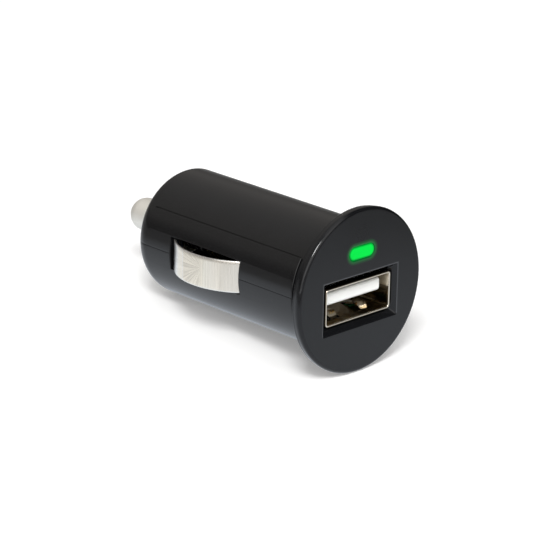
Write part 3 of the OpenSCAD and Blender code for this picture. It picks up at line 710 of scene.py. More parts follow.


# %% [markdown]
# A faint green glow is painted into the plastic round the lamp, for some of the lamp's
# light that gets into it. A thin grey line is painted along the upper and side edges
# of the port's recess border: a painted highlight where the edges catch light. The
# bottom edge gets none.

# %% Painted halo and painted border highlight
tree = cap_black.node_tree
shader = tree.nodes["Principled BSDF"]
axes = spot_and_axes(tree)[1]
# painted glow: the cap's plastic emits green close to the lamp's window
shader.inputs["Emission Color"].default_value = (0.0, 1.0, 0.16, 1)
feed(tree, shader, {"Emission Strength": remap(
    tree, away_from_lamp(tree, axes), 1.0 * MM, 1.75 * MM, 0.12, 0.0, True)})
out_x = minus(tree, size_of(tree, axes["X"]), (BORDER_W / 2 + 0.1) * MM)
out_z = minus(tree, size_of(tree, minus(tree, axes["Z"], PORT_Z * MM)),
              (BORDER_H / 2 + 0.1) * MM)
off_border = size_of(tree, larger(tree, out_x, out_z))
# painted highlight: a thin grey line along the border's upper and side edges
painted_edge_highlight = times(tree, remap(tree, off_border, 0.04 * MM, 0.13 * MM, 1.0, 0.0),
             is_below(tree, axes["Y"], -1.6 * MM))
# no painted highlight on the bottom edge of the border
painted_edge_highlight = times(tree, painted_edge_highlight, remap(tree, axes["Z"], -5.3 * MM, -5.1 * MM))
recolour(tree, shader, painted_edge_highlight, (0.045, 0.048, 0.052))


# %% Loops and rings
def new_edges(bm, old):
    return [e for e in bm.edges if e not in old]


def box_loop(bm, width, height, radius, y, z, segments=4):
    """A loop of edges: a rectangle with rounded corners."""
    old = set(bm.edges)
    made = bmesh.ops.create_grid(bm, x_segments=1, y_segments=1, size=0.5,
                                 matrix=upright(y, z, width, height))
    bmesh.ops.bevel(bm, geom=made["verts"], offset=radius, offset_type="OFFSET",
                    segments=segments, profile=0.5, affect="VERTICES", material=-1)
    loop = new_edges(bm, old)
    bmesh.ops.delete(bm, geom=list({f for e in loop for f in e.link_faces}),
                     context="FACES_ONLY")
    return loop


def round_loop(bm, radius, y, segments=180):
    """A circle of edges about the axis."""
    old = set(bm.edges)
    bmesh.ops.create_circle(bm, cap_ends=False, radius=radius, segments=segments,
                            matrix=upright(y, 0.0))
    return new_edges(bm, old)


def carry(bm, loop, z, stations):
    """Extrudes a loop through stations of (width, height, y), from the first one."""
    for before, after in zip(stations, stations[1:]):
        made = bmesh.ops.extrude_edge_only(bm, edges=loop)["geom"]
        verts = set(only(BMVert, made))
        bmesh.ops.scale(bm, vec=(after[0] / before[0], 1, after[1] / before[1]),
                        space=Matrix.Translation((0, 0, -z)), verts=list(verts))
        bmesh.ops.translate(bm, vec=(0, after[2] - before[2], 0), verts=list(verts))
        loop = [e for e in only(BMEdge, made)
                if all(v in verts for v in e.verts)]
    return loop


def fill_between(bm, *loops):
    """Fills the flat space between loops."""
    bmesh.ops.triangle_fill(bm, use_beauty=True, use_dissolve=False,
                            edges=[e for loop in loops for e in loop])


# %% [markdown]
# The stations of each loop are the drawing of the cap. The border's slope starts
# with a small rounding, and so does the window. The outer edge is rounded more in
# front than behind, as on the real cap.

# %% Flange
SLOPE_DEPTH, PORT_W, PORT_H = 1.2, 13.3, 5.9


def border_at(y):
    """Width and height of the sloping border at a distance y along the axis."""
    share = (y - FACE_Y) / SLOPE_DEPTH
    return (BORDER_W - (BORDER_W - PORT_W) * share,
            BORDER_H - (BORDER_H - PORT_H) * share, y)


rim_stations = [(23.4, 23.4, FACE_Y)] + [
    (2 * r, 2 * r, y) for r, y in
    corner(FLANGE_R - 0.5, -1.2, 0.5, -90, 0, 8)
    + [(12.24, -1.0), (12.19, -0.7), (12.1, -0.4)]
    + corner(11.82, -0.3, 0.3, 20, 90, 4) + [(11.7, 0.0)]]
border_stations = [
    (15.14, 8.14, FACE_Y), (15.04, 8.04, FACE_Y), (14.93, 7.93, FACE_Y + 0.012),
    (BORDER_W, BORDER_H, FACE_Y + 0.045), border_at(FACE_Y + 0.11),
    border_at(FACE_Y + 0.17), border_at(-0.56), border_at(-0.5),
    (PORT_W, PORT_H, -0.4), (PORT_W, PORT_H, 0.0)]
window_stations = [
    (5.46, 2.46, FACE_Y), (5.36, 2.36, FACE_Y), (5.26, 2.26, FACE_Y + 0.015),
    (5.18, 2.18, FACE_Y + 0.05), (5.16, 2.16, FACE_Y + 0.12), (5.16, 2.16, 0.0)]

cap = bmesh.new()
rim_loop = round_loop(cap, 11.7, FACE_Y)
border_loop = box_loop(cap, 15.14, 8.14, 0.2, FACE_Y, PORT_Z)
window_loop = box_loop(cap, 5.46, 2.46, 1.2299, FACE_Y, LAMP_Z, segments=16)
fill_between(cap, rim_loop, border_loop, window_loop)
fill_between(cap, carry(cap, rim_loop, 0.0, rim_stations),
             carry(cap, border_loop, PORT_Z, border_stations),
             carry(cap, window_loop, LAMP_Z, window_stations))
face_outward(cap)
print("flange:", len(cap.faces), "faces,", len(rim_edges(cap)), "open edges")


# %% [markdown]
# Behind the flange a skirt with a snap bead plugs into the barrel, a sleeve guides
# the port and a boss holds the lamp. None of it shows once the charger is shut, so
# plain rings and a part turn do.

# %% Skirt, sleeve and boss
def within_bore(bm, verts, radius=8.2):
    """Draws vertices in to a radius, so that they fit inside the skirt."""
    for vert in verts:
        shrink = min(1.0, radius / radius_of(vert))
        vert.co.x *= shrink
        vert.co.z *= shrink


def tube(bm, outer, inner, z, y0, y1, segments):
    """A straight tube between two rounded outlines of (width, height, radius)."""
    ends = []
    for width, height, radius in (outer, inner):
        loop = box_loop(bm, width, height, radius, y0, z, segments)
        cut = bmesh.ops.subdivide_edges(bm, edges=loop, cuts=2)
        loop = only(BMEdge, cut["geom"])
        within_bore(bm, {v for e in loop for v in e.verts})
        far = carry(bm, loop, z, [(width, height, y0), (width, height, y1)])
        ends.append((loop, far))
    for near_or_far in zip(*ends):
        fill_between(bm, *near_or_far)


inside = bmesh.new()
turn(inside, [(7.3, -0.2), (8.25, -0.2), (8.25, 3.8), (8.55, 4.2), (8.55, 4.5),
              (8.25, 4.9), (8.25, 5.9), (8.15, 6.0), (7.3, 6.0)], 100, 199.6)
cap_rim(inside)
bmesh.ops.rotate(inside, cent=(0, 0, 0), matrix=Matrix.Rotation(
    math.radians(9.8), 3, "Y"), verts=inside.verts)
tube(inside, (14.9, 7.5, 0.9), (13.3, 5.9, 0.7), PORT_Z, -0.2, 3.0, 4)
tube(inside, (7.3, 4.3, 2.1499), (5.86, 2.86, 1.4299), LAMP_Z, -0.2, 2.6, 12)
face_outward(inside)
print("skirt, z from", round(min(v.co.z for v in inside.verts), 2),
      "open edges", len(rim_edges(inside)))
cap.from_mesh(mesh_of(inside, "inside"))
finish_piece(cap, "front_cap_moulding", "housing", ["front_cap"],
             cap_black, sharp_deg=28.0)

# %% [markdown]
# ## The lamp
# A green pill of clear plastic with a light behind it. It sits a hair below the
# face. The middle glows evenly and the rim is darker, because less light gets out
# at the edge. The glow is an emission that falls off with the distance to the pill's
# middle line.

# %% Lamp finish
lamp_green, tree, shader = new_material("lamp_green")
spot, axes = spot_and_axes(tree)
cloud = remap(tree, noise(tree, spot, 900.0, 2.0), 0.3, 0.7, -0.05, 0.05)
glow = plus(tree, remap(tree, away_from_lamp(tree, axes), 0.64 * MM, 1.03 * MM,
                        1.0, 0.2, True), cloud, clamp=True)
feed(tree, shader, {
    "Emission Color": blend_colours(tree, glow, (0.0, 0.04, 0.008), (0.0, 0.80, 0.062)),
    "Base Color": blend_colours(tree, glow, (0.0, 0.02, 0.005), (0.0, 0.05, 0.012)),
    "Roughness": remap(tree, glow, 0.0, 1.0, 0.4, 0.3)})
shader.inputs["Emission Strength"].default_value = 1.0
shader.inputs["Specular IOR Level"].default_value = 0.05

# %% Lamp lens
lamp = bmesh.new()
front = box_loop(lamp, LAMP_W - 0.3, LAMP_H - 0.3, 0.8499, FACE_Y + 0.04, LAMP_Z, 16)
bmesh.ops.contextual_create(lamp, geom=front)
last = carry(lamp, front, LAMP_Z, [
    (4.7, 1.7, FACE_Y + 0.04), (4.86, 1.86, FACE_Y + 0.07), (4.96, 1.96, FACE_Y + 0.14),
    (5.0, 2.0, FACE_Y + 0.25), (5.0, 2.0, 1.05), (5.7, 2.7, 1.05), (5.7, 2.7, 2.6)])
bmesh.ops.contextual_create(lamp, geom=last)
face_outward(lamp)
finish_piece(lamp, "lamp_lens", "housing", ["indicator_led"],
             lamp_green)

# %% [markdown]
# ## The port's metal shell
# The shell is a strip of plated steel folded into a tube, with four spring fingers
# lanced out of it. The tube is extruded from a rounded loop and cut with planes where
# the fingers will be. The narrow cuts round each finger are deleted, the finger is
# bent inwards, and then the whole sheet gets its thickness.

# %% [markdown]
# Deep in the port the base colour is painted a dim brown: painted shade for the dark
# inside that the plating mirrors. The fingers and the upper part of the side walls are
# spared from it, as painted light where light from outside falls. The outer half of
# the sheet's wall gets the same dark brown.

# %% Sheet finish
port_plate = metal("port_plate", (0.83, 0.76, 0.65), (0.68, 0.61, 0.51), 0.2, 0.3,
                   (700.0, 9000.0, 700.0), bump_mm=0.0008, cloud=0.5)
tree = port_plate.node_tree
axes = spot_and_axes(tree)[1]
off_x = size_of(tree, axes["X"])
off_z = size_of(tree, minus(tree, axes["Z"], PORT_Z * MM))
# painted shade: the base colour darkens deep in the port
deep = remap(tree, axes["Y"], -1.1 * MM, -0.85 * MM)
# painted light: fingers and upper side walls are spared from the painted shade
lit_finger_share = times(tree, remap(tree, off_x, 4.1 * MM, 4.2 * MM, 0.55, 0.0),
                  remap(tree, off_z, 2.42 * MM, 2.3 * MM))
lit_wall_share = times(tree, remap(tree, off_x, 5.9 * MM, 6.0 * MM, 0.0, 0.85),
                  remap(tree, axes["Z"], -1.7 * MM, -1.1 * MM, smooth=True))
painted_shade_share = minus(tree, 1.0, larger(tree, lit_finger_share, lit_wall_share))
# the outer half of the sheet's wall gets the same dark brown
outer_lip = larger(tree, remap(tree, off_x, 6.38 * MM, 6.43 * MM, 0.0, 0.85),
                   remap(tree, off_z, 2.68 * MM, 2.73 * MM, 0.0, 0.85))
# paints the dark brown into the base colour
recolour(tree, tree.nodes["Principled BSDF"],
         larger(tree, times(tree, deep, painted_shade_share), outer_lip), (0.25, 0.205, 0.135))
vary_roughness(port_plate, lambda tree, axes: remap(
    tree, axes["Y"], -1.05 * MM, -0.75 * MM), 0.7)

# %% Port shell
PORT_FRONT, PORT_REAR = -1.2, 8.8
FINGER_X, FINGER_HALF, CUT = 3.05, 0.95, 0.2
FINGER_TIP, FINGER_CREST, FINGER_ROOT, FINGER_RISE = 0.75, 1.65, 4.4, 0.78
WINDOW_FRONT = 0.3
port = bmesh.new()
mouth = box_loop(port, 13.1, 5.7, 0.6, PORT_FRONT, PORT_Z, 6)
carry(port, mouth, PORT_Z, [(13.1, 5.7, PORT_FRONT), (13.1, 5.7, PORT_REAR)])
for x in (FINGER_X - FINGER_HALF, FINGER_X + FINGER_HALF):
    for side in (-1, 1):
        cut_at(port, (side * x, 0, 0), (1, 0, 0))
        edge = x - CUT if x < FINGER_X else x + CUT
        cut_at(port, (side * edge, 0, 0), (1, 0, 0))
for y in (0.3, 0.75, 0.9, 1.1, 1.3, 1.45, 1.58, 1.72, 1.9, 2.2, 2.6, 3.1, 3.6, 4.0,
          4.2, 4.4):
    cut_at(port, (0, y, 0), (0, 1, 0))


def finger_part(face):
    """'cut' for a face round a finger, 'finger' for one on it, or None."""
    middle = face.calc_center_median()
    off = abs(abs(middle.x) - FINGER_X)
    if (off > FINGER_HALF + CUT or not WINDOW_FRONT < middle.y < 4.2
            or abs(face.normal.z) < 0.9):
        return None
    return "cut" if off > FINGER_HALF or middle.y < FINGER_TIP else "finger"


face_outward(port)
fingers = {v for f in port.faces if finger_part(f) == "finger" for v in f.verts}
bmesh.ops.delete(port, geom=[f for f in port.faces if finger_part(f) == "cut"],
                 context="FACES")


def finger_lift(y):
    """How far a finger is bent into the port at a distance y along the axis."""
    if y >= FINGER_CREST:
        share = (FINGER_ROOT - y) / (FINGER_ROOT - FINGER_CREST)
        return FINGER_RISE * math.sin(share * math.pi / 2) ** 1.3
    share = (FINGER_CREST - y) / (FINGER_CREST - FINGER_TIP)
    return FINGER_RISE * (1 - 0.94 * share ** 1.25)


for vert in fingers:
    inwards = 1 if vert.co.z < PORT_Z else -1
    if vert.co.y < FINGER_ROOT - 0.01:
        vert.co.z += inwards * finger_lift(vert.co.y)
    if vert.co.y < FINGER_CREST:
        middle_x = math.copysign(FINGER_X, vert.co.x)
        narrow = 1 - 0.35 * (FINGER_CREST - vert.co.y) / (FINGER_CREST - FINGER_TIP)
        vert.co.x = middle_x + (vert.co.x - middle_x) * narrow
print("port sheet:", len(port.faces), "faces,", len(fingers), "bent vertices")

# %% Thicken the sheet
face_outward(port)
if sum(f.normal.dot(f.calc_center_median() - Vector((0, 3.8, PORT_Z)))
       for f in port.faces) < 0:
    bmesh.ops.reverse_faces(port, faces=port.faces)
bmesh.ops.solidify(port, geom=port.faces[:], thickness=0.3)
print("port shell spans x",
      [round(pick(v.co.x for v in port.verts), 2) for pick in (min, max)])
rims = [e for e in port.edges if e.calc_face_angle(0.0) > math.radians(70)
        and all(abs(v.co.y - PORT_FRONT) < 1e-3 for v in e.verts)]
soften(port, rims, 0.1, 3)
for side in (-1, 1):
    box(port, (side * 6.4 - 0.15, 5.6, -4.88), (side * 6.4 + 0.15, 7.2, -3.68))
finish_piece(port, "port_shell", "housing", ["usb_shell"], port_plate)

# %% [markdown]
# ## The white tongue
# The tongue carries the four contacts on its underside and grows out of a block at
# the back of the port. It is an opaque white nylon. Both are boxes with rounded
# edges, and the slots for the contacts are cut out with a Boolean modifier that is
# applied at once, because straight grooves through a rounded box are what a Boolean
# does cleanly.

# %% Tongue plastic
tongue_white = plastic("tongue_white", (0.93, 0.94, 0.92), (0.88, 0.89, 0.87), 0.34,
                       drift=0.05, grain=5000.0, bump_mm=0.002)


# %% Tongue and block
def rounded_box(bm, low, high, radius, segments=3):
    """A box from its lowest to its highest corner, with all edges rounded."""
    edges = {e for v in box(bm, low, high) for e in v.link_edges}
    soften(bm, list(edges), radius, segments)


TONGUE_BOTTOM, TONGUE_TOP, STRIP_X = -1.53, 0.43, (-3.5, -1.0, 1.0, 3.5)
GROOVE_HALF, GROOVE_TOP = 0.53, -1.08
moulding = bmesh.new()
rounded_box(moulding, (-5.5, -0.2, TONGUE_BOTTOM), (5.5, 7.4, TONGUE_TOP), 0.44, 5)
rounded_box(moulding, (-6.2, 6.4, -3.9), (6.2, 9.1, 1.1), 0.25)
cutter = bmesh.new()
for x in STRIP_X:
    box(cutter, (x - GROOVE_HALF, 0.5, -2.4), (x + GROOVE_HALF, 6.5, GROOVE_TOP))
    box(cutter, (x - GROOVE_HALF, 6.2, -1.49), (x + GROOVE_HALF, 9.4, GROOVE_TOP))


def boolean_result(base, tool, operation):
    """The mesh that a Boolean modifier makes of two meshes."""
    holder, other = add_object("holder", base), add_object("other", tool)
    step = holder.modifiers.new("cut", "BOOLEAN")
    step.operation, step.object, step.solver = operation, other, "EXACT"
    step.use_self = True
    shape = bmesh.new()
    shape.from_object(holder, bpy.context.evaluated_depsgraph_get())
    for thing in (holder, other):
        bpy.data.objects.remove(thing)
    return shape


grooved = boolean_result(mesh_of(moulding, "tongue"), mesh_of(cutter, "cutter"),
                         "DIFFERENCE")
finish_piece(grooved, "port_tongue", "housing", ["usb_insulator"],
             tongue_white)


# %% [markdown]
# ## The side contacts
# Each contact is a strip of nickel-plated spring steel. In front it is rolled round
# a bead inside the barrel, then it bows out through the slot and curls in again at
# the back. A flat grid is bent along that line: its length follows the path, and its
# width stays straight. The flat length is kept as the strip's own coordinates, so
# that the fine lines of the finish follow the bend.

# %% Path of a contact
def arc_points(centre, radius, start, end, step=3.0):
    """Points of an arc seen from above, as (x, y), about a point."""
    count = max(2, round(abs(end - start) / step))
    turns = [math.radians(start + (end - start) * i / count) for i in range(count + 1)]
    return [Vector((centre[0] + radius * math.cos(t), centre[1] + radius * math.sin(t)))
            for t in turns]


SHEET, HALF_WIDTH = 0.3, 2.4
path = arc_points((7.0, 9.9), 0.25, -300, 0, 20)
path += arc_points((9.264, 11.21), 2.014, 180, 130, 5)
path += arc_points((1.22, 20.8), 10.5, -50, 38, 1.5)[1:]
path += arc_points((8.785, 26.71), 0.9, 38, 84, 5)[1:]
tail = Vector((-math.sin(math.radians(84)), math.cos(math.radians(84))))
path += [path[-1] + tail * step for step in (0.4, 0.9, 1.5)]
stations = [0.0]
for first, second in zip(path, path[1:]):
    stations.append(stations[-1] + (second - first).length)
print("contact strip is", round(stations[-1], 2), "mm long when flat")


# %% Bend a strip
def contact_strip(name, side, body, material):
    """A bent strip with its thickness, on the +X (side = 1) or -X side."""
    strip = bmesh.new()
    rows, columns = len(path) - 1, 8
    bmesh.ops.create_grid(strip, x_segments=rows, y_segments=columns, size=0.5)
    flat = strip.loops.layers.uv.new("flat")
    for face in strip.faces:
        for loop in face.loops:
            row = round((loop.vert.co.x + 0.5) * rows)
            loop[flat].uv = (stations[row], loop.vert.co.y * 2 * HALF_WIDTH)
    for vert in strip.verts:
        point = path[round((vert.co.x + 0.5) * rows)]
        vert.co = (side * point.x, point.y, vert.co.y * 2 * HALF_WIDTH)
    face_outward(strip)
    crest = max(strip.faces, key=lambda f: side * f.calc_center_median().x)
    if crest.normal.x * side < 0:
        bmesh.ops.reverse_faces(strip, faces=strip.faces)
    in_metres(strip)
    mesh = mesh_of(strip, name, material)
    piece = add_object(name, mesh)
    thick = piece.modifiers.new("sheet", "SOLIDIFY")
    thick.thickness, thick.offset, thick.use_even_offset = SHEET * MM, 0.0, True
    edge = piece.modifiers.new("edges", "BEVEL")
    edge.width, edge.segments, edge.limit_method = 0.06 * MM, 2, "ANGLE"
    edge.angle_limit = math.radians(50)
    hand_over(piece, body, [body])
    print(name, "reaches x =", round(side * max(side * v.co.x for v in mesh.vertices)
                                     / MM, 2))


# %% [markdown]
# The plating is a warm white. Its base colour changes in bands along the strip: greyer
# in front, bright before the crest, cream behind it with one greyer band, and a cooler
# white over the back curl, which is a painted reflection. The long edges are painted
# lighter, a painted highlight. Fine lines run across the strip, from rolling. Behind
# the crest they spread like a fan from one point, where the bending tool pressed. The
# fan is the angle about that point, and the straight lines are the flat length: both
# go through one thin noise.

# %% Contact finish
contact_nickel, tree, shader = new_material("contact_nickel")
flat = put(tree, "UVMap", {"uv_map": "flat"}).outputs["UV"]
axes = put(tree, "SeparateXYZ", {}, {"Vector": flat}).outputs
FAN_AT, FAN_HEIGHT, STRIP_LENGTH = 11.75, 0.7, 24.0
FAN_DENSITY, LINE_DENSITY, LINE_STRETCH = 11.0, 5.0, 0.12


def thin_lines(across, along, density):
    """A vector whose noise makes thin lines: dense across them, slow along them."""
    return put(tree, "CombineXYZ", {}, {
        "X": times(tree, across, density),
        "Y": times(tree, along, LINE_STRETCH)}).outputs["Vector"]


behind = minus(tree, axes["X"], FAN_AT)
fan_turn = turn_of(tree, minus(tree, axes["Y"], FAN_HEIGHT), behind)
fan = noise(tree, thin_lines(fan_turn, behind, FAN_DENSITY), 1.0, 2.0, 0.5)
straight = noise(tree, thin_lines(axes["X"], axes["Y"], LINE_DENSITY), 1.0, 3.0, 0.6)
marks = put(tree, "Mix", {"data_type": "FLOAT"}, {
    0: remap(tree, behind, 0.1, 0.7, smooth=True),
    2: remap(tree, straight, 0.38, 0.68, 0.0, 0.7),
    3: remap(tree, fan, 0.38, 0.62)}).outputs[0]
marks = times(tree, marks, remap(tree, behind, 3.9, 4.3, 1.0, 0.25, True))
# base colour in bands along the strip; the cooler white from about 18 mm on is a
# painted reflection on the back curl
tint = colour_ramp(tree, over(tree, axes["X"], STRIP_LENGTH), [
    (length / STRIP_LENGTH, colour) for length, colour in (
        (0.0, (0.86, 0.84, 0.78)), (8.7, (0.88, 0.81, 0.70)),
        (8.95, (0.98, 0.90, 0.77)), (10.2, (0.99, 0.92, 0.80)),
        (11.3, (0.99, 0.93, 0.80)), (11.7, (0.99, 0.91, 0.76)),
        (15.7, (0.99, 0.90, 0.75)), (15.9, (0.95, 0.93, 0.88)),
        (16.05, (0.99, 0.91, 0.78)), (17.2, (0.98, 0.91, 0.78)),
        (18.6, (0.94, 0.93, 0.90)), (STRIP_LENGTH, (0.93, 0.92, 0.89)))])
lined = blend_colours(tree, times(tree, marks, 0.6), tint, (0.66, 0.61, 0.53))
# painted highlight: the strip's long edges are painted lighter
edge_highlight_share = remap(tree, size_of(tree, axes["Y"]), 2.15, 2.35, 0.0, 0.8)
feed(tree, shader, {
    "Base Color": blend_colours(tree, edge_highlight_share, lined, (0.97, 0.96, 0.93)),
    "Roughness": remap(tree, marks, 0.0, 1.0, 0.2, 0.36)})
add_bump(tree, shader, marks, 0.0012)
shader.inputs["Metallic"].default_value = 1.0

# %% Both contacts
contact_strip("contact_strip_left", -1, "side_contact_left", contact_nickel)
contact_strip("contact_strip_right", 1, "side_contact_right", contact_nickel)

# %% [markdown]
# ## The centre pin
# The pin is turned from one bar: a round nose, a shaft, a collar that keeps it in
# the barrel and a spigot for the spring. Half its outline is spun round the axis.
# Turning leaves rings round it, so the finish's lines are stretched round the axis
# by making them short along it.

# %% Pin
pin_nickel = metal("pin_nickel", (0.97, 0.95, 0.89), (0.90, 0.87, 0.80), 0.6, 0.66,
                   (500.0, 7000.0, 500.0), bump_mm=0.0012, cloud=0.35)
PIN_R = 2.55
pin = bmesh.new()
turn(pin, [(0.0, 32.3), (1.73, 32.3), (1.93, 32.5), (1.93, 34.1), (3.5, 34.1),
           (3.6, 34.2), (3.6, 35.0), (3.5, 35.1), (PIN_R, 35.1), (PIN_R, 44.3)]
     + corner(0.0, 44.45, PIN_R, 0, 89.9, 18) + [(0.0, 47.0)], 96, closed=False)
finish_piece(pin, "pin_turned", "centre_pin", ["centre_pin"], pin_nickel)

# %% [markdown]
# Behind the pin sits a coil spring of round steel wire. Its first and last coils lie
# closed, so that it stands square. A ring of the wire is placed at each step of the
# coil's line and joined to the one before. The spring gives way when the pin goes in.

# %% Spring
COIL_R, WIRE_R, COIL_TURNS, COIL_STEPS, WIRE_SIDES = 2.35, 0.22, 6, 40, 12
COIL_FRONT, COIL_LENGTH, PIN_TRAVEL, END_GAP = 27.8, 6.3, 3.0, 0.05
run, closed = COIL_LENGTH - 2 * WIRE_R - 2 * END_GAP, 2.1 * WIRE_R


def coil_height(turns):
    """How far the wire has climbed after a number of turns."""
    if turns < 1:
        return closed * turns
    if turns > COIL_TURNS - 1:
        return run - closed * (COIL_TURNS - turns)
    return closed + (run - 2 * closed) * (turns - 1) / (COIL_TURNS - 2)


coil = bmesh.new()
rings = []
for step in range(COIL_TURNS * COIL_STEPS + 1):
    around = 2 * math.pi * step / COIL_STEPS
    middle_y = COIL_FRONT + END_GAP + WIRE_R + coil_height(step / COIL_STEPS)
    ring = []
    for side in range(WIRE_SIDES):
        lean = 2 * math.pi * side / WIRE_SIDES
        reach = COIL_R + WIRE_R * math.cos(lean)
        ring.append(coil.verts.new((reach * math.cos(around),
                                    middle_y + WIRE_R * math.sin(lean),
                                    reach * math.sin(around))))
    rings.append(ring)
for before, after in zip(rings, rings[1:]):
    for side in range(WIRE_SIDES):
        other = (side + 1) % WIRE_SIDES
        coil.faces.new((before[side], before[other], after[other], after[side]))
for ring in (rings[0], rings[-1]):
    coil.faces.new(ring)
face_outward(coil)
spring_steel = metal("spring_steel", (0.62, 0.62, 0.63), (0.42, 0.42, 0.44), 0.22, 0.36,
                     (1200.0, 9000.0, 1200.0))
spring = finish_piece(coil, "coil_spring", "housing", ["pin_spring"],
                      spring_steel)
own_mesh(spring)

# %% [markdown]
# ## What is inside
# These CAD nodes keep their shapes, which are right for small bought-in parts, and
# get their finishes. Where one node has both a black body and tinned leads, a mask
# on its place picks the metal out.

# %% Finishes of the inner parts
gold = metal("gold_plate", (0.93, 0.66, 0.28), (0.78, 0.52, 0.2), 0.18, 0.3,
             (900.0, 6000.0, 900.0))
brass = metal("clip_brass", (0.84, 0.66, 0.36), (0.62, 0.46, 0.24), 0.24, 0.38,
              (5000.0, 700.0, 700.0))
tinned = metal("tinned_wire", (0.76, 0.77, 0.78), (0.56, 0.57, 0.58), 0.28, 0.42,
               (1500.0, 1500.0, 1500.0))
copper = metal("enamelled_copper", (0.72, 0.30, 0.12), (0.42, 0.15, 0.05), 0.2, 0.42,
               (300.0, 300.0, 4200.0), bump_mm=0.04, cloud=0.1)
ferrite = plastic("ferrite", (0.045, 0.045, 0.048), (0.07, 0.07, 0.074), 0.55,
                  grain=3000.0, bump_mm=0.01)


def two_finish(name, body, axis, centre, half, body_rough):
    """A dull body, and tinned metal further than half from a centre on one axis."""
    material, tree, shader = new_material(name)
    node = use_group(tree, skin, {
        "Colour": body, "Roughness": body_rough,
        "Second colour": tuple(level * 1.35 for level in body)})
    place = spot_and_axes(tree)[1][axis]
    off = size_of(tree, minus(tree, place, centre * MM))
    metal_part = remap(tree, off, (half - 0.01) * MM, (half + 0.01) * MM)
    feed(tree, shader, {
        "Base Color": blend_colours(tree, metal_part, node.outputs["Colour"],
                                    (0.75, 0.75, 0.76)),
        "Metallic": metal_part,
        "Roughness": times(tree, node.outputs["Roughness"],
                           remap(tree, metal_part, 0.0, 1.0, 1.0, 0.6))})
    add_bump(tree, shader, node.outputs["Height"], 0.004)
    return material


def centre_of(node):
    low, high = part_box(node)
    return (low + high) / 2 / MM


# %% [markdown]
# The board is glass laminate under a green resist. The copper tracks show through
# it as slightly raised, lighter lines. Stepped noise on the board's own plane gives
# the look of tracks without drawing a real circuit.

# %% Board and cans
board, tree, shader = new_material("board_resist")
spot = put(tree, "TexCoord").outputs["Object"]
tracks = put(tree, "TexVoronoi", {
    "feature": "DISTANCE_TO_EDGE", "distance": "EUCLIDEAN", "Scale": 420.0},
    {"Vector": spot})
track = remap(tree, tracks.outputs["Distance"], 0.04, 0.07, 1.0, 0.0)
weave = noise(tree, spot, 2600.0, 2.0)
green = blend_colours(tree, weave, (0.010, 0.075, 0.025), (0.016, 0.105, 0.035))
feed(tree, shader, {"Base Color": blend_colours(tree, track, green, (0.03, 0.19, 0.06)),
                    "Roughness": remap(tree, weave, 0.3, 0.7, 0.22, 0.34)})
add_bump(tree, shader, track, 0.03)

can, tree, shader = new_material("capacitor_can")
spot = put(tree, "TexCoord").outputs["Object"]
normal = put(tree, "NewGeometry").outputs["Normal"]
facing_up = put(tree, "SeparateXYZ", {}, {"Vector": normal}).outputs["Z"]
lid = remap(tree, facing_up, 0.85, 0.95)
speckle = noise(tree, spot, 3000.0, 3.0)
sleeve = blend_colours(tree, speckle, (0.012, 0.016, 0.045), (0.02, 0.026, 0.065))
feed(tree, shader, {"Base Color": blend_colours(tree, lid, sleeve, (0.70, 0.71, 0.72)),
                    "Metallic": lid,
                    "Roughness": remap(tree, speckle, 0.3, 0.7, 0.26, 0.36)})

# %% Give the inner nodes their finishes
chip_at, diode_at = centre_of("controller_chip"), centre_of("rectifier_diode")
inner_finish = {
    "led_lead_left": tinned, "led_lead_right": tinned, "circuit_board": board,
    "inductor_core": ferrite, "inductor_winding": copper, "input_capacitor": can,
    "output_capacitor": can, "contact_clip_left": brass, "contact_clip_right": brass,
    "spring_terminal": brass,
    "controller_chip": two_finish("chip_package", (0.02, 0.02, 0.021), "X",
                                  chip_at.x, 1.951, 0.5),
    "rectifier_diode": two_finish("diode_package", (0.022, 0.022, 0.023), "Y",
                                  diode_at.y, 2.101, 0.5)}
for number in (1, 2, 3, 4):
    inner_finish[f"usb_contact_{number}"] = gold
for kind, colour in (("chip_resistor", (0.03, 0.03, 0.032)),
                     ("chip_capacitor", (0.36, 0.25, 0.15))):
    for side in ("left", "right"):
        name = f"{kind}_{side}"
        inner_finish[name] = two_finish(f"{name}_finish", colour, "X",
                                        centre_of(name).x, 0.62, 0.45)
for name, material in inner_finish.items():
    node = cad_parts[name]
    node.data.materials.clear()
    node.data.materials.append(material)
print("inner nodes finished:", len(inner_finish))

# %% [markdown]
# ## Table and light
# The charger rests on the rim of its cap and on the barrel's rear end, so the table
# slopes a little in the charger's own frame. The table is white. For the camera it
# adds a little light of its own, so that it burns out to white round the charger
# while the soft contact shadow stays. In reflections it is bluish white close by and
# dims further out, as a small lit table in a darker room does.

# %% Table
TABLE_SLOPE = math.radians(4.3)
table_material, tree, shader = new_material("table_white")
shader.inputs["Base Color"].default_value = (0.9, 0.9, 0.9, 1)
shader.inputs["Roughness"].default_value = 0.9
shader.inputs["Specular IOR Level"].default_value = 0.0
shader.inputs["Emission Color"].default_value = (1, 1, 1, 1)
rays = put(tree, "LightPath").outputs
feed(tree, shader, {"Emission Strength": times(tree, rays["Is Camera Ray"], 0.2)})
mirrored = larger(tree, rays["Is Glossy Ray"], rays["Is Transmission Ray"])
distance = put(tree, "VectorMath", {"operation": "LENGTH"},
               {0: spot_and_axes(tree)[0]}).outputs["Value"]
far = remap(tree, distance, 42 * MM, 97 * MM, smooth=True)
glow = put(tree, "Emission", {"Strength": 1.0}, {"Color": blend_colours(
    tree, far, (0.77, 0.83, 0.91), (0.10, 0.10, 0.10))})
blend = put(tree, "MixShader", {}, {
    0: times(tree, mirrored, 0.75), 1: shader.outputs[0], 2: glow.outputs[0]})
feed(tree, tree.nodes["Material Output"], {"Surface": blend.outputs[0]})

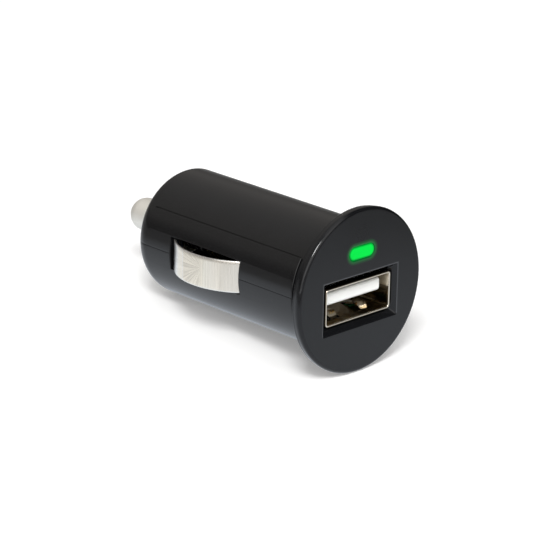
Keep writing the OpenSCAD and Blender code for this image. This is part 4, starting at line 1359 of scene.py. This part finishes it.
table_mesh = bmesh.new()
bmesh.ops.create_grid(table_mesh, x_segments=1, y_segments=1, size=3000.0,
                      matrix=Matrix.Rotation(TABLE_SLOPE, 4, "X"))
bmesh.ops.translate(table_mesh, verts=table_mesh.verts, vec=(
    0, 0, -FLANGE_R + math.tan(TABLE_SLOPE) * 0.3))
bmesh.ops.scale(table_mesh, vec=(MM, MM, MM), verts=table_mesh.verts)
add_object("table", mesh_of(table_mesh, "table", table_material))

# %% [markdown]
# The room is a soft tent. Its light grows with height. Two more patches of light
# stand in front and low at the left, for the pin and the side contact to mirror, and
# the right front stays dark, which keeps the port's recess dark. The camera itself
# sees plain white.

# %% Room
world = bpy.data.worlds.new("room")
bpy.context.scene.world = world
world.use_nodes = True
tree = world.node_tree
direction = put(tree, "TexCoord").outputs["Generated"]
axes = put(tree, "SeparateXYZ", {}, {"Vector": direction}).outputs
height = colour_ramp(tree, axes["Z"], [(0.0, (0.8, 0.82, 0.85))] + [
    (position, (level * 1.05, level, level * 0.95)) for position, level in (
        (0.02, 0.12), (0.16, 0.14), (0.34, 0.32), (0.6, 0.38))] + [
    (1.0, (0.5, 0.5, 0.5))])
dark_side = times(tree, remap(tree, axes["X"], 0.2, 0.5, smooth=True),
                  remap(tree, axes["Y"], 0.45, 0.05, smooth=True))
front = times(tree, remap(tree, axes["Y"], -0.3, -0.6, smooth=True),
              remap(tree, axes["Z"], 0.1, 0.3, smooth=True))
low_left = times(tree, remap(tree, axes["X"], -0.5, -0.7, 0.0, 1.1, True),
                 remap(tree, axes["Y"], 0.1, -0.1, smooth=True))
lit = blend_colours(tree, 1.0, height, plus(tree, front, low_left), how="ADD")
lit = blend_colours(tree, times(tree, dark_side, 0.95), lit, (0.02, 0.02, 0.02))
rays = put(tree, "LightPath").outputs
feed(tree, tree.nodes["Background"], {"Color": blend_colours(
    tree, rays["Is Camera Ray"], lit, (1.0, 1.0, 1.0))})


# %% Lamps
def softbox(name, at, size, watts):
    """A square area lamp that looks at the charger's middle."""
    light = bpy.data.lights.new(name, "AREA")
    light.shape, light.size, light.energy = "SQUARE", size, watts
    holder = add_object(name, light)
    holder.location = at
    holder.rotation_mode = "QUATERNION"
    holder.rotation_quaternion = (holder.location - AIM * MM).to_track_quat("Z", "Y")
    print(name, "radiance", round(watts / (math.pi * size * size), 2))


KEY_DISTANCE = 0.8
softbox("overhead_box", (0.0, 0.02, 0.9), 0.5, 0.4)
softbox("key_box", (-0.50 * KEY_DISTANCE, 0.018 - 0.45 * KEY_DISTANCE,
                    0.74 * KEY_DISTANCE), 0.22, 4.1)
